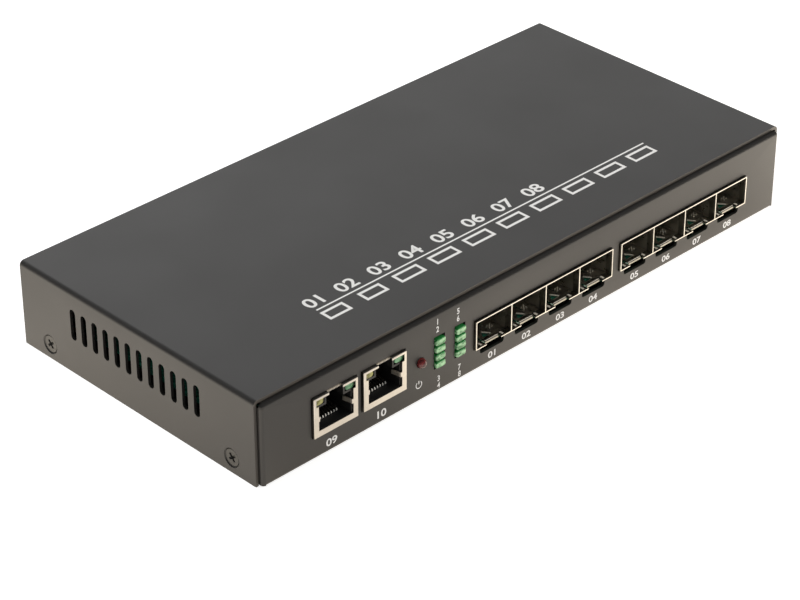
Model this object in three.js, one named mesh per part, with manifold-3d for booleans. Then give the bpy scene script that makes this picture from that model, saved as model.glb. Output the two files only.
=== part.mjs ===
// Desktop fibre switch: two copper network jacks and eight pluggable fibre ports in a folded steel case.
// Millimetres, +Z up, the ports face -Y. The origin is under the middle of the case, where it rests.
import * as THREE from "three";
import { mergeVertices } from "three/addons/utils/BufferGeometryUtils.js";
import Module from "manifold-3d";

const wasm = await Module();
wasm.setup();

// Case: a folded tray with the front and rear walls, and a folded cover with the top and the sides
const sheet = 1;
const coverBend = 1.5;
const trayBend = 1.1;
const coverSetback = 1.65;
const coverGap = 0.15;
const topReturn = 9;
const sideReturn = 7.5;
const sideFlangeHeight = 10;
const cornerRelief = 0.4;
const leftMargin = 19.2;
const rightMargin = 16.4;
const headroom = 7.4;

// Vent slots, one row in each side of the cover
const ventCount = 12;
const ventPitch = 4.8;
const ventWidth = 2.4;
const ventLength = 10.1;
const ventBottom = 11.5;

// Countersunk cover screws, two in each side
const coverScrewFromFront = 11.3;
const coverScrewFromRear = 13.3;
const coverScrewHeight = 4.8;
const coverHeadRadius = 2.8;
const coverHeadDepth = 1.2;
const coverHeadRecess = 0.15;
const coverHeadGap = 0.3;
const coverScrewLength = 5;

// Circuit board on four hexagonal standoffs, with its screws
const boardThickness = 1.6;
const boardSideGap = 7.5;
const boardFrontGap = 0.6;
const boardRearGap = 1;
const boardCornerRadius = 1.5;
const standoffHeight = 4.8;
const standoffRadius = 2.9;
const standoffFromSide = 3.5;
const standoffFromEdge = 6;
const screwShankRadius = 1.5;
const screwHoleGap = 0.3;
const panHeadRadius = 2.6;
const panHeadHeight = 1.9;
const boardScrewLength = 5;
const recessLength = 3;
const recessWidth = 0.7;
const recessDepth = 0.8;

// Copper network jacks
const jackCount = 2;
const jackWidth = 16.3;
const jackHeight = 12.7;
const jackDepth = 21.3;
const jackSpacing = 2.15;
const jackProud = 0.8;
const jackSkin = 0.3;
const jackGap = 0.3;
const jackSideMargin = 1.75;
const jackBottomMargin = 1.85;
const jackTopMargin = 0.75;
const jackCutoutGap = 0.3;
const lampMargin = 0.9;
const lampHeight = 2.25;
const lampDepth = 10;
const latchNotchWidth = 5.1;
const latchNotchDepth = 1.2;
const plugWidth = 11.9;
const plugHeight = 7.1;
const plugDepth = 14.5;
const latchChannelWidth = 6.2;
const latchChannelDepth = 12;
const earthTabHeight = 1.5;
const earthTabBottom = 4.9;
const earthTabDepth = 3.6;
const earthTabLean = 1.1;
const contactCount = 8;
const contactPitch = 1.02;
const contactWidth = 0.4;
const contactThickness = 0.3;
const contactBend = 0.5;
const contactFront = 3.6;
const contactReturn = 7;
const contactRise = 2.2;
const contactBarDepth = 0.8;
const contactBarHeight = 1.2;

// Power lamp and the two columns of port lamps
const powerLampSpacing = 6.2;
const powerLampRadius = 1.5;
const powerLampHoleGap = 0.15;
const powerLampProud = 1.8;
const powerLampFlange = 0.45;
const portLampSpacing = 7.25;
const portLampRows = 4;
const portLampColumns = 2;
const portLampPitch = 2.5;
const portLampColumnPitch = 8.1;
const portLampWidth = 3.8;
const portLampThickness = 2.25;
const portLampProud = 0.7;
const portLampRadius = 0.8;
const portLampSlotGap = 0.2;
const portLampSlotHead = 0.65;
const powerLampAboveBoard = 5.4;
const portLampsAboveBoard = 5.75;
const lampBodyDepth = 4;
const lampFlangeDepth = 0.8;
const lampBehindWall = 0.3;
const leadSpread = 2.54;
const leadThickness = 0.5;
const leadReach = 1.5;
const leadStagger = 1.6;

// Fibre port cages, four ports side by side in each
const cageCount = 2;
const portsPerCage = 4;
const cageSpacingFromLamps = 3.7;
const cageSpacing = 3.7;
const portPitch = 14.25;
const cageSkin = 0.3;
const portWall = 0.3;
const cageHeight = 9.4;
const cageDepth = 48;
const cageProud = 0.8;
const cageCutoutGap = 0.3;
const cutoutCornerRadius = 0.4;
const fingerNotchWidth = 9.7;
const fingerNotchDrop = 2.25;
const fingerNotchRadius = 0.8;
const tongueWidth = 5.3;
const tongueSlot = 0.35;
const tongueTip = 0.9;
const tongueRoot = 13;
const tongueRise = 0.45;
const tongueLip = 0.9;
const tongueBend = 0.55;
const latchHoleBase = 3;
const latchHoleLength = 2.2;
const latchHoleFromTip = 2;
const cageVentRadius = 1;
const cageVentRows = 3;
const cageVentPitch = 6;
const cageVentFront = 14;
const cageVentSpread = 5.4;
const connectorWidth = 11.4;
const connectorHeight = 5.6;
const connectorDepth = 9;
const connectorFromRear = 1.5;
const connectorGap = 0.4;
const cardSlotWidth = 9.6;
const cardSlotHeight = 1.4;
const cardSlotDepth = 5;
const cardSlotRise = 2.1;
const connectorChamfer = 0.6;

// Power inlet at the rear
const inletFromRight = 28;
const inletWidth = 9;
const inletHeight = 11;
const inletDepth = 14;
const inletBoreRadius = 3.2;
const inletBoreDepth = 10.5;
const inletBoreRise = 6.5;
const inletPinRadius = 1.05;
const inletPinRecess = 0.8;
const inletNoseRadius = 4;
const inletHoleRadius = 4.2;

// Rear part of the board with the switching chips and the supply
const rearZone = 53.3;
const chipHeight = 1.4;
const switchChipSide = 20;
const switchChipFromMiddle = 12;
const linkChipSide = 14;
const linkChipFromMiddle = 30;
const chipsFromCage = 16;
const heatSinkOverhang = 2.5;
const heatSinkBase = 1.6;
const heatSinkHeight = 7;
const finCount = 7;
const finThickness = 1.1;
const capacitorCount = 3;
const capacitorRadius = 3.15;
const capacitorHeight = 11;
const capacitorGroove = 0.3;
const capacitorSpacing = 2;
const coilSide = 8;
const coilHeight = 4.2;
const supplySpacing = 4;
const supplyFromRear = 9;
const crystalLength = 10.4;
const crystalWidth = 4.4;
const crystalHeight = 3.4;
const partSpacing = 5;
const memoryLength = 5.2;
const memoryWidth = 4;
const memoryHeight = 1.6;

// Sides of an arc or a full round, and how far a cutting tool runs past what it cuts
const bendSteps = 5;
const cornerSteps = 3;
const roundSteps = 24;
const smallRoundSteps = 10;
const screwSteps = 16;
const overrun = 1;
const weld = 0.0001;

// Sizes worked out from the values above
const cageWidth = portsPerCage * portPitch + portWall;
const boardTop = sheet + standoffHeight + boardThickness;
const lampColumnHalf = portLampWidth / 2 + portLampSlotGap;
const jacksWidth = jackCount * jackWidth + (jackCount - 1) * jackSpacing;
const powerLampFromLeft = leftMargin + jacksWidth + powerLampSpacing;
const firstColumnFromLeft = powerLampFromLeft + portLampSpacing;
const lastColumnFromLeft = firstColumnFromLeft + (portLampColumns - 1) * portLampColumnPitch;
const cagesFromLeft = lastColumnFromLeft + lampColumnHalf + cageSpacingFromLamps;
const cagesWidth = cageCount * cageWidth + (cageCount - 1) * cageSpacing;
const caseWidth = cagesFromLeft + cagesWidth + rightMargin;
const caseHeight = boardTop + jackHeight + headroom;
const cageBehindWall = cageDepth - cageProud - sheet;
const caseDepth = sheet + cageBehindWall + rearZone + boardRearGap + sheet;
const frontProud = Math.max(jackProud, cageProud, powerLampProud, portLampProud);
const left = -caseWidth / 2;
const frontFace = -(caseDepth + frontProud) / 2 + frontProud;
const rearFace = frontFace + caseDepth;
const trayHalf = caseWidth / 2 - sheet - coverGap;
const trayHeight = caseHeight - sheet - coverGap;
const boardHalf = trayHalf - sheet - boardSideGap;
const boardFront = frontFace + sheet + boardFrontGap;
const boardRear = rearFace - sheet - boardRearGap;
const cageRear = frontFace - cageProud + cageDepth;
const holeRadius = screwShankRadius + screwHoleGap;
const powerLampCentre = boardTop + powerLampAboveBoard;
const portLampsCentre = boardTop + portLampsAboveBoard;

// A closed geometry as a solid that can be joined and cut
function solidOf(geometry) {
  const bare = geometry.clone();
  bare.deleteAttribute("normal");
  bare.deleteAttribute("uv");
  const merged = mergeVertices(bare, weld);
  return new wasm.Manifold(
    new wasm.Mesh({
      numProp: 3,
      vertProperties: merged.attributes.position.array,
      triVerts: new Uint32Array(merged.index.array),
    }),
  );
}

// A solid as a geometry again, with flat faces
function geometryOf(solid) {
  const { vertProperties, triVerts } = solid.getMesh();
  const shared = new THREE.BufferGeometry();
  shared.setAttribute("position", new THREE.BufferAttribute(vertProperties, 3));
  shared.setIndex(new THREE.BufferAttribute(triVerts, 1));
  const flat = shared.toNonIndexed();
  flat.computeVertexNormals();
  return flat;
}

function joined(first, ...others) {
  return others.reduce((whole, piece) => whole.add(piece), first);
}

function cut(body, ...tools) {
  return tools.reduce((rest, tool) => rest.subtract(tool), body);
}

// A box from its lower to its upper sides along each axis
function block([x0, x1], [y0, y1], [z0, z1]) {
  const geometry = new THREE.BoxGeometry(x1 - x0, y1 - y0, z1 - z0);
  geometry.translate((x0 + x1) / 2, (y0 + y1) / 2, (z0 + z1) / 2);
  return solidOf(geometry);
}

// An outline pulled from start to end: along X it is drawn in Y and Z, along Y in X and Z, along Z in X and Y
const X = new THREE.Vector3(1, 0, 0);
const Y = new THREE.Vector3(0, 1, 0);
const Z = new THREE.Vector3(0, 0, 1);

function pulled(axis, outline, start, end, steps = cornerSteps) {
  const geometry = new THREE.ExtrudeGeometry(outline, {
    depth: end - start,
    bevelEnabled: false,
    curveSegments: steps / 2,
  });
  if (axis === "x") {
    geometry.applyMatrix4(new THREE.Matrix4().makeBasis(Y, Z, X)).translate(start, 0, 0);
  } else if (axis === "y") {
    geometry.applyMatrix4(new THREE.Matrix4().makeBasis(X, Z, Y.clone().negate()));
    geometry.translate(0, end, 0);
  } else {
    geometry.translate(0, 0, start);
  }
  return solidOf(geometry);
}

function polygon(points) {
  return new THREE.Shape(points.map(([a, b]) => new THREE.Vector2(a, b)));
}

function circle(a, b, radius) {
  return new THREE.Shape().absarc(a, b, radius, 0, 2 * Math.PI);
}

// A rectangle with round corners, from its lower left to its upper right corner
function roundedRectangle([a0, b0], [a1, b1], radius) {
  const quarter = Math.PI / 2;
  return new THREE.Shape()
    .moveTo(a0 + radius, b0)
    .lineTo(a1 - radius, b0)
    .absarc(a1 - radius, b0 + radius, radius, -quarter, 0)
    .lineTo(a1, b1 - radius)
    .absarc(a1 - radius, b1 - radius, radius, 0, quarter)
    .lineTo(a0 + radius, b1)
    .absarc(a0 + radius, b1 - radius, radius, quarter, 2 * quarter)
    .lineTo(a0, b0 + radius)
    .absarc(a0 + radius, b0 + radius, radius, 2 * quarter, 3 * quarter);
}

// The section of a folded sheet. The path runs along its outer face through the sharp corners, and the
// sheet lies to the left of the path and folds that way, or to the right where side is -1.
function foldedSheet(path, thickness, radius, side = 1) {
  const points = path.map(([a, b]) => new THREE.Vector2(a, b));
  const inward = (direction) =>
    new THREE.Vector2(-direction.y, direction.x).multiplyScalar(side);
  const folds = points.slice(1, -1).map((corner, index) => {
    const before = corner.clone().sub(points[index]).normalize();
    const after = points[index + 2].clone().sub(corner).normalize();
    const tangent = radius * Math.tan(before.angleTo(after) / 2);
    const start = corner.clone().addScaledVector(before, -tangent);
    const centre = start.clone().addScaledVector(inward(before), radius);
    const end = corner.clone().addScaledVector(after, tangent);
    return {
      centre,
      from: start.sub(centre).angle(),
      to: end.sub(centre).angle(),
    };
  });
  const last = points.length - 1;
  const firstWay = points[1].clone().sub(points[0]).normalize();
  const lastWay = points[last].clone().sub(points[last - 1]).normalize();
  const outline = new THREE.Shape();
  outline.moveTo(points[0].x, points[0].y);
  for (const { centre, from, to } of folds) {
    outline.absarc(centre.x, centre.y, radius, from, to, side < 0);
  }
  outline.lineTo(points[last].x, points[last].y);
  const endInner = points[last].clone().addScaledVector(inward(lastWay), thickness);
  outline.lineTo(endInner.x, endInner.y);
  for (const { centre, from, to } of folds.reverse()) {
    outline.absarc(centre.x, centre.y, radius - thickness, to, from, side > 0);
  }
  const startInner = points[0].clone().addScaledVector(inward(firstWay), thickness);
  outline.lineTo(startInner.x, startInner.y);
  return outline;
}

// A profile of radius and height pairs, from the axis at the bottom to the axis at the top, turned about Z
function turned(profile, steps) {
  const points = profile.map(([radius, height]) => new THREE.Vector2(radius, height));
  const geometry = new THREE.LatheGeometry(points, steps);
  geometry.rotateX(Math.PI / 2);
  return solidOf(geometry);
}

function finish(color, roughness, metalness) {
  return new THREE.MeshStandardMaterial({ color, roughness, metalness });
}

const product = new THREE.Group();

function place(name, solid, material, position = [0, 0, 0], rotation = [0, 0, 0]) {
  const mesh = new THREE.Mesh(geometryOf(solid), material);
  mesh.name = name;
  mesh.position.set(...position);
  mesh.rotation.set(...rotation);
  product.add(mesh);
  return mesh;
}

// Places along the front, from the left end of the case
const jackLefts = Array.from({ length: jackCount }, (_, i) => left + leftMargin + i * (jackWidth + jackSpacing));
const cageLefts = Array.from({ length: cageCount }, (_, i) => left + cagesFromLeft + i * (cageWidth + cageSpacing));
const columnCentres = Array.from(
  { length: portLampColumns },
  (_, i) => left + firstColumnFromLeft + i * portLampColumnPitch,
);
const powerLampX = left + powerLampFromLeft;
const portLampStack = (portLampRows - 1) * portLampPitch + portLampThickness;
const inletX = -left - inletFromRight;
const inletZ = boardTop + inletBoreRise;
const coverScrewYs = [frontFace + coverScrewFromFront, rearFace - coverScrewFromRear];

function portMiddle(cageLeft, port) {
  return cageLeft + portWall / 2 + (port + 0.5) * portPitch;
}

// Tray: bottom, front and rear walls folded from one sheet, their returns, and the side flanges
function trayCutouts() {
  const wall = [frontFace - overrun, frontFace + sheet + overrun];
  const jackHoles = jackLefts.map((x) =>
    block(
      [x - jackCutoutGap, x + jackWidth + jackCutoutGap],
      wall,
      [boardTop - jackCutoutGap, boardTop + jackHeight + jackCutoutGap],
    ),
  );
  const lampSlots = columnCentres.map((x) => {
    const half = portLampStack / 2;
    const foot = portLampsCentre - half - portLampSlotGap;
    return block([x - lampColumnHalf, x + lampColumnHalf], wall, [foot, portLampsCentre + half + portLampSlotHead]);
  });
  const lampHole = pulled(
    "y",
    circle(powerLampX, powerLampCentre, powerLampRadius + powerLampHoleGap),
    ...wall,
    roundSteps,
  );
  const cageHoles = cageLefts.flatMap((x) => {
    const lower = boardTop - cageCutoutGap;
    const opening = roundedRectangle(
      [x - cageCutoutGap, lower],
      [x + cageWidth + cageCutoutGap, boardTop + cageHeight + cageCutoutGap],
      cutoutCornerRadius,
    );
    const notches = Array.from({ length: portsPerCage }, (_, i) => {
      const middle = portMiddle(x, i);
      return roundedRectangle(
        [middle - fingerNotchWidth / 2, lower - fingerNotchDrop],
        [middle + fingerNotchWidth / 2, lower + 2 * fingerNotchRadius],
        fingerNotchRadius,
      );
    });
    return [opening, ...notches].map((outline) => pulled("y", outline, ...wall));
  });
  const inletHole = pulled(
    "y",
    circle(inletX, inletZ, inletHoleRadius),
    rearFace - sheet - overrun,
    rearFace + overrun,
    roundSteps,
  );
  const screwHoles = coverScrewYs.map((y) =>
    pulled("x", circle(y, coverScrewHeight, holeRadius), left, -left, smallRoundSteps),
  );
  return [...jackHoles, ...lampSlots, lampHole, ...cageHoles, inletHole, ...screwHoles];
}

function trayBody() {
  const frontTop = frontFace + topReturn;
  const rearTop = rearFace - topReturn;
  const lengthways = foldedSheet(
    [
      [frontTop, trayHeight],
      [frontFace, trayHeight],
      [frontFace, 0],
      [rearFace, 0],
      [rearFace, trayHeight],
      [rearTop, trayHeight],
    ],
    sheet,
    trayBend,
  );
  const middle = pulled("x", lengthways, trayBend - trayHalf, trayHalf - trayBend, bendSteps);
  const returnEnds = [trayBend + cornerRelief, trayHeight - trayBend - cornerRelief];
  const frontReturns = foldedSheet(
    [
      [-trayHalf, frontFace + sideReturn],
      [-trayHalf, frontFace],
      [trayHalf, frontFace],
      [trayHalf, frontFace + sideReturn],
    ],
    sheet,
    trayBend,
  );
  const rearReturns = foldedSheet(
    [
      [trayHalf, rearFace - sideReturn],
      [trayHalf, rearFace],
      [-trayHalf, rearFace],
      [-trayHalf, rearFace - sideReturn],
    ],
    sheet,
    trayBend,
  );
  const flanges = foldedSheet(
    [
      [-trayHalf, sideFlangeHeight],
      [-trayHalf, 0],
      [trayHalf, 0],
      [trayHalf, sideFlangeHeight],
    ],
    sheet,
    trayBend,
  );
  const flangeInset = sideReturn + cornerRelief;
  return joined(
    middle,
    pulled("z", frontReturns, ...returnEnds, bendSteps),
    pulled("z", rearReturns, ...returnEnds, bendSteps),
    pulled("y", flanges, frontFace + flangeInset, rearFace - flangeInset, bendSteps),
  );
}

const blackPaint = 0x2c2b2a;
place("base_tray", cut(trayBody(), ...trayCutouts()), finish(blackPaint, 0.5, 0.3));

// Cover: top and sides folded from one sheet, with the vent slots and the countersinks
function coverBody() {
  const section = foldedSheet(
    [
      [left, 0],
      [left, caseHeight],
      [-left, caseHeight],
      [-left, 0],
    ],
    sheet,
    coverBend,
    -1,
  );
  return pulled("y", section, frontFace + coverSetback, rearFace - coverSetback, bendSteps);
}

function ventSlots() {
  const middle = (frontFace + rearFace) / 2;
  const first = middle - ((ventCount - 1) * ventPitch) / 2;
  return Array.from({ length: ventCount }, (_, i) => {
    const y = first + i * ventPitch;
    const outline = roundedRectangle(
      [y - ventWidth / 2, ventBottom],
      [y + ventWidth / 2, ventBottom + ventLength],
      ventWidth / 2,
    );
    return pulled("x", outline, left - overrun, -left + overrun);
  });
}

// The seat of a countersunk head, wider than the head by a gap all round
function countersinks() {
  const taper = (coverHeadRadius - screwShankRadius) / coverHeadDepth;
  const below = sheet + coverGap / 2;
  const rim = coverHeadRadius + coverHeadGap;
  const tool = turned(
    [
      [0, -below],
      [rim - taper * (below - coverHeadRecess), -below],
      [rim, -coverHeadRecess],
      [rim, overrun],
      [0, overrun],
    ],
    screwSteps,
  );
  return coverScrewYs.flatMap((y) => [
    tool.rotate([0, -90, 0]).translate([left, y, coverScrewHeight]),
    tool.rotate([0, 90, 0]).translate([-left, y, coverScrewHeight]),
  ]);
}

place("top_cover", cut(coverBody(), ...ventSlots(), ...countersinks()), finish(blackPaint, 0.45, 0.3));

// Screws with a cross recess: a countersunk one for the cover and a pan head for the board
function crossRecess(top) {
  const long = recessLength / 2;
  const half = recessWidth / 2;
  const arm = polygon([[-long, -half], [long, -half], [long, half], [-long, half]]);
  const depths = [top - recessDepth, top + overrun];
  const bar = pulled("z", arm, ...depths);
  return joined(bar, bar.rotate([0, 0, 90]));
}

function coverScrew() {
  const body = turned(
    [
      [0, -coverScrewLength],
      [screwShankRadius, -coverScrewLength],
      [screwShankRadius, -coverHeadDepth],
      [coverHeadRadius, 0],
      [0, 0],
    ],
    screwSteps,
  );
  return cut(body, crossRecess(0));
}

function boardScrew() {
  const crown = panHeadHeight * 0.4;
  const body = turned(
    [
      [0, -boardScrewLength],
      [screwShankRadius, -boardScrewLength],
      [screwShankRadius, 0],
      [panHeadRadius, 0],
      [panHeadRadius, panHeadHeight - crown],
      [panHeadRadius - crown, panHeadHeight],
      [0, panHeadHeight],
    ],
    screwSteps,
  );
  return cut(body, crossRecess(panHeadHeight));
}

const blackScrew = 0x3a3937;
const quarterTurn = Math.PI / 2;
coverScrewYs.forEach((y, i) => {
  const end = ["front", "rear"][i];
  place(`cover_screw_left_${end}`, coverScrew(), finish(blackScrew, 0.4, 0.6),
    [left + coverHeadRecess, y, coverScrewHeight], [0, -quarterTurn, 0]);
  place(`cover_screw_right_${end}`, coverScrew(), finish(blackScrew, 0.4, 0.6),
    [-left - coverHeadRecess, y, coverScrewHeight], [0, quarterTurn, 0]);
});

// Circuit board, standoffs and board screws
const standoffPlaces = [
  [-boardHalf + standoffFromSide, boardFront + standoffFromEdge],
  [boardHalf - standoffFromSide, boardFront + standoffFromEdge],
  [-boardHalf + standoffFromSide, boardRear - standoffFromEdge],
  [boardHalf - standoffFromSide, boardRear - standoffFromEdge],
];

function circuitBoard() {
  const outline = roundedRectangle([-boardHalf, boardFront], [boardHalf, boardRear], boardCornerRadius);
  const bottom = boardTop - boardThickness;
  const holes = standoffPlaces.map(([x, y]) =>
    pulled("z", circle(x, y, holeRadius), bottom - overrun, boardTop + overrun, smallRoundSteps),
  );
  return cut(pulled("z", outline, bottom, boardTop), ...holes);
}

function standoff() {
  const hexagonSides = 6;
  return cut(
    pulled("z", circle(0, 0, standoffRadius), 0, standoffHeight, hexagonSides),
    pulled("z", circle(0, 0, holeRadius), -overrun, standoffHeight + overrun, smallRoundSteps),
  );
}

place("main_board", circuitBoard(), finish(0x1d5a3c, 0.5, 0.1));
standoffPlaces.forEach(([x, y], i) => {
  place(`board_standoff_${i + 1}`, standoff(), finish(0xc8a95a, 0.35, 0.9), [x, y, sheet]);
  place(`board_screw_${i + 1}`, boardScrew(), finish(0xb9b9b6, 0.3, 0.9), [x, y, boardTop]);
});

// Copper jack, drawn about its own middle with its front at Y 0 and its foot on the board
const jackHalf = jackWidth / 2;
const lampFloor = jackHeight - jackTopMargin - lampHeight;
const lampWindow = jackHalf - lampMargin;

function jackWindow() {
  const half = jackHalf - jackSideMargin;
  const notch = latchNotchWidth / 2;
  const lampTop = jackHeight - jackTopMargin;
  const rightSide = [
    [half, jackBottomMargin],
    [half, lampFloor],
    [lampWindow, lampFloor],
    [lampWindow, lampTop],
    [notch, lampTop],
    [notch, jackHeight + overrun],
  ];
  const leftSide = rightSide.map(([x, z]) => [-x, z]).reverse();
  return polygon([...rightSide, ...leftSide]);
}

function earthTab(side) {
  const outer = jackHalf - jackSideMargin;
  const lean = outer - earthTabLean;
  const strip = polygon(
    [
      [outer + jackSkin, 0],
      [outer + jackSkin, jackSkin],
      [outer, jackSkin],
      [lean, earthTabDepth],
      [lean - jackSkin, earthTabDepth],
      [outer - jackSkin, 0],
    ].map(([x, y]) => [side * x, y]),
  );
  return pulled("z", strip, earthTabBottom, earthTabBottom + earthTabHeight);
}

function jackShield() {
  const outer = block([-jackHalf, jackHalf], [0, jackDepth], [0, jackHeight]);
  const inner = block(
    [jackSkin - jackHalf, jackHalf - jackSkin],
    [jackSkin, jackDepth - jackSkin],
    [-overrun, jackHeight - jackSkin],
  );
  const frontWindow = pulled("y", jackWindow(), -overrun, jackSkin + overrun);
  const half = latchNotchWidth / 2;
  const topNotch = block(
    [-half, half],
    [-overrun, latchNotchDepth],
    [jackHeight - jackSkin - overrun, jackHeight + overrun],
  );
  return joined(cut(outer, inner, frontWindow, topNotch), earthTab(1), earthTab(-1));
}

function jackHousing() {
  const half = jackHalf - jackSkin - jackGap;
  const front = jackSkin + jackGap;
  const rear = jackDepth - jackSkin - jackGap;
  const top = jackHeight - jackSkin - jackGap;
  const floor = jackBottomMargin;
  const ceiling = floor + plugHeight;
  const ahead = front - overrun;
  const channel = latchChannelWidth / 2;
  const plug = block([-plugWidth / 2, plugWidth / 2], [ahead, front + plugDepth], [floor, ceiling]);
  const latch = block(
    [-channel, channel],
    [ahead, front + latchChannelDepth],
    [ceiling - overrun, top + overrun],
  );
  const lampPockets = [-1, 1].map((side) => {
    const inside = side * (channel + 2 * jackGap);
    const outside = side * (half + overrun);
    return block(
      [Math.min(inside, outside), Math.max(inside, outside)],
      [ahead, front + lampDepth + jackGap],
      [lampFloor, top + overrun],
    );
  });
  const tabPockets = [-1, 1].map((side) => {
    const inside = side * (plugWidth / 2 - overrun);
    const outside = side * (jackHalf - jackSideMargin + jackSkin + jackGap);
    return block(
      [Math.min(inside, outside), Math.max(inside, outside)],
      [ahead, earthTabDepth + jackGap],
      [earthTabBottom - jackGap, earthTabBottom + earthTabHeight + jackGap],
    );
  });
  const body = block([-half, half], [front, rear], [0, top]);
  return cut(body, plug, latch, ...lampPockets, ...tabPockets);
}

// Eight bent spring wires joined by their carrier bar
function jackContacts() {
  const base = jackBottomMargin;
  const barEnd = jackSkin + plugDepth;
  const barStart = barEnd - contactBarDepth;
  const climb = Math.atan2(contactRise, contactReturn);
  const corner = contactFront + contactBend - contactBend / Math.tan(climb / 2);
  const wire = foldedSheet(
    [
      [barEnd - contactBarDepth / 2, base],
      [corner, base],
      [contactFront + contactReturn, base + (contactFront + contactReturn - corner) * Math.tan(climb)],
    ],
    contactThickness,
    contactBend,
    -1,
  );
  const span = (contactCount - 1) * contactPitch;
  const wires = Array.from({ length: contactCount }, (_, i) => {
    const x = i * contactPitch - span / 2;
    return pulled("x", wire, x - contactWidth / 2, x + contactWidth / 2, bendSteps);
  });
  const bar = block(
    [-(span + contactWidth) / 2, (span + contactWidth) / 2],
    [barStart, barEnd],
    [base, base + contactBarHeight],
  );
  return joined(bar, ...wires);
}

function jackLamp(side) {
  const inside = latchChannelWidth / 2 + 3 * jackGap;
  const low = side > 0 ? inside : -lampWindow;
  const outline = roundedRectangle(
    [low, lampFloor],
    [low + lampWindow - inside, lampFloor + lampHeight],
    lampHeight / 4,
  );
  const front = jackSkin + jackGap;
  return pulled("y", outline, front, front + lampDepth);
}

jackLefts.forEach((x, i) => {
  const seat = [x + jackHalf, frontFace - jackProud, boardTop];
  place(`network_jack_${i + 1}_shield`, jackShield(), finish(0xcfc8ba, 0.3, 0.9), seat);
  place(`network_jack_${i + 1}_housing`, jackHousing(), finish(0x161616, 0.5, 0), seat);
  place(`network_jack_${i + 1}_contacts`, jackContacts(), finish(0xd8b25a, 0.25, 1), seat);
  place(`network_jack_${i + 1}_yellow_lamp`, jackLamp(-1), finish(0xa8ad4a, 0.2, 0), seat);
  place(`network_jack_${i + 1}_green_lamp`, jackLamp(1), finish(0x3f8a5a, 0.2, 0), seat);
});

// Lamps on bent leads, drawn with the outer face of the wall at Y 0 and the middle of the lens at Z 0
function lampLeads(back, reach, drop) {
  const half = leadThickness / 2;
  return [-1, 1].flatMap((side) => {
    const x = (side * leadSpread) / 2;
    const across = [x - half, x + half];
    const behind = back + reach;
    return [
      block(across, [back - overrun, behind], [-half, half]),
      block(across, [behind - leadThickness, behind], [-drop, half]),
    ];
  });
}

function portLamp(row) {
  const halfWidth = portLampWidth / 2;
  const half = portLampThickness / 2;
  const lens = roundedRectangle([-halfWidth, -half], [halfWidth, half], portLampRadius);
  const back = sheet + lampBehindWall + lampBodyDepth;
  const flange = halfWidth + portLampSlotGap + portLampSlotGap;
  const drop = portLampsCentre + (row - (portLampRows - 1) / 2) * portLampPitch - boardTop;
  return joined(
    pulled("y", lens, -portLampProud, back),
    block([-flange, flange], [back - lampFlangeDepth, back], [-half, half]),
    ...lampLeads(back, leadReach + row * leadStagger, drop),
  );
}

function powerLamp() {
  const back = sheet + lampBehindWall + lampBodyDepth;
  const straight = powerLampProud - powerLampRadius;
  const dome = Array.from({ length: bendSteps + 1 }, (_, i) => {
    const angle = (i / bendSteps) * quarterTurn;
    return [powerLampRadius * Math.cos(angle), straight + powerLampRadius * Math.sin(angle)];
  });
  dome[bendSteps][0] = 0;
  const rim = powerLampRadius + powerLampFlange;
  const body = turned(
    [
      [0, -back],
      [rim, -back],
      [rim, lampFlangeDepth - back],
      [powerLampRadius, lampFlangeDepth - back],
      ...dome,
    ],
    screwSteps,
  ).rotate([90, 0, 0]);
  return joined(body, ...lampLeads(back, leadReach, powerLampCentre - boardTop));
}

columnCentres.forEach((x, column) => {
  for (let row = 0; row < portLampRows; row += 1) {
    const fromTop = portLampRows - 1 - row;
    const height = portLampsCentre + (row - (portLampRows - 1) / 2) * portLampPitch;
    place(`port_lamp_${column * portLampRows + fromTop + 1}`, portLamp(row), finish(0x3fae62, 0.15, 0),
      [x, frontFace, height]);
  }
});
place("power_lamp", powerLamp(), finish(0x7a1c22, 0.15, 0), [powerLampX, frontFace, powerLampCentre]);

// Cage of four fibre ports, drawn from its left front corner with its foot on the board
function latchTongue(middle) {
  const half = tongueWidth / 2;
  const top = cageSkin + tongueRise;
  const section = foldedSheet(
    [
      [tongueRoot + cageSkin, cageSkin],
      [tongueTip, top],
      [tongueTip, top - tongueLip],
    ],
    cageSkin,
    tongueBend,
  );
  const base = latchHoleFromTip + tongueTip;
  const hole = polygon([
    [middle - latchHoleBase / 2, base],
    [middle + latchHoleBase / 2, base],
    [middle, base + latchHoleLength],
  ]);
  return cut(
    pulled("x", section, middle - half, middle + half, bendSteps),
    pulled("z", hole, -overrun, top + overrun),
  );
}

function cageVents(middle) {
  return Array.from({ length: cageVentRows }, (_, row) => row).flatMap((row) =>
    [-1, 1].map((side) => {
      const spot = circle(
        middle + (side * cageVentSpread) / 2,
        cageVentFront + row * cageVentPitch,
        cageVentRadius,
      );
      return pulled("z", spot, cageHeight - cageSkin - overrun, cageHeight + overrun, smallRoundSteps);
    }),
  );
}

function portCage() {
  let body = block([0, cageWidth], [0, cageDepth], [0, cageHeight]);
  const connectorFront = cageDepth - cageSkin - connectorFromRear - connectorDepth;
  for (let i = 0; i < portsPerCage; i += 1) {
    const middle = portMiddle(0, i);
    const half = (portPitch - portWall) / 2;
    const gap = tongueWidth / 2 + tongueSlot;
    const through = [-overrun, cageSkin + overrun];
    const room = block(
      [middle - half, middle + half],
      [-overrun, cageDepth - cageSkin],
      [cageSkin, cageHeight - cageSkin],
    );
    const tongueRoom = block([middle - gap, middle + gap], [-overrun, tongueRoot], through);
    const connectorRoom = block(
      [middle - connectorWidth / 2 - connectorGap, middle + connectorWidth / 2 + connectorGap],
      [connectorFront - connectorGap, cageDepth - cageSkin - connectorGap],
      through,
    );
    body = cut(body, room, tongueRoom, connectorRoom, ...cageVents(middle));
    body = joined(body, latchTongue(middle));
  }
  return body;
}

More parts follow.
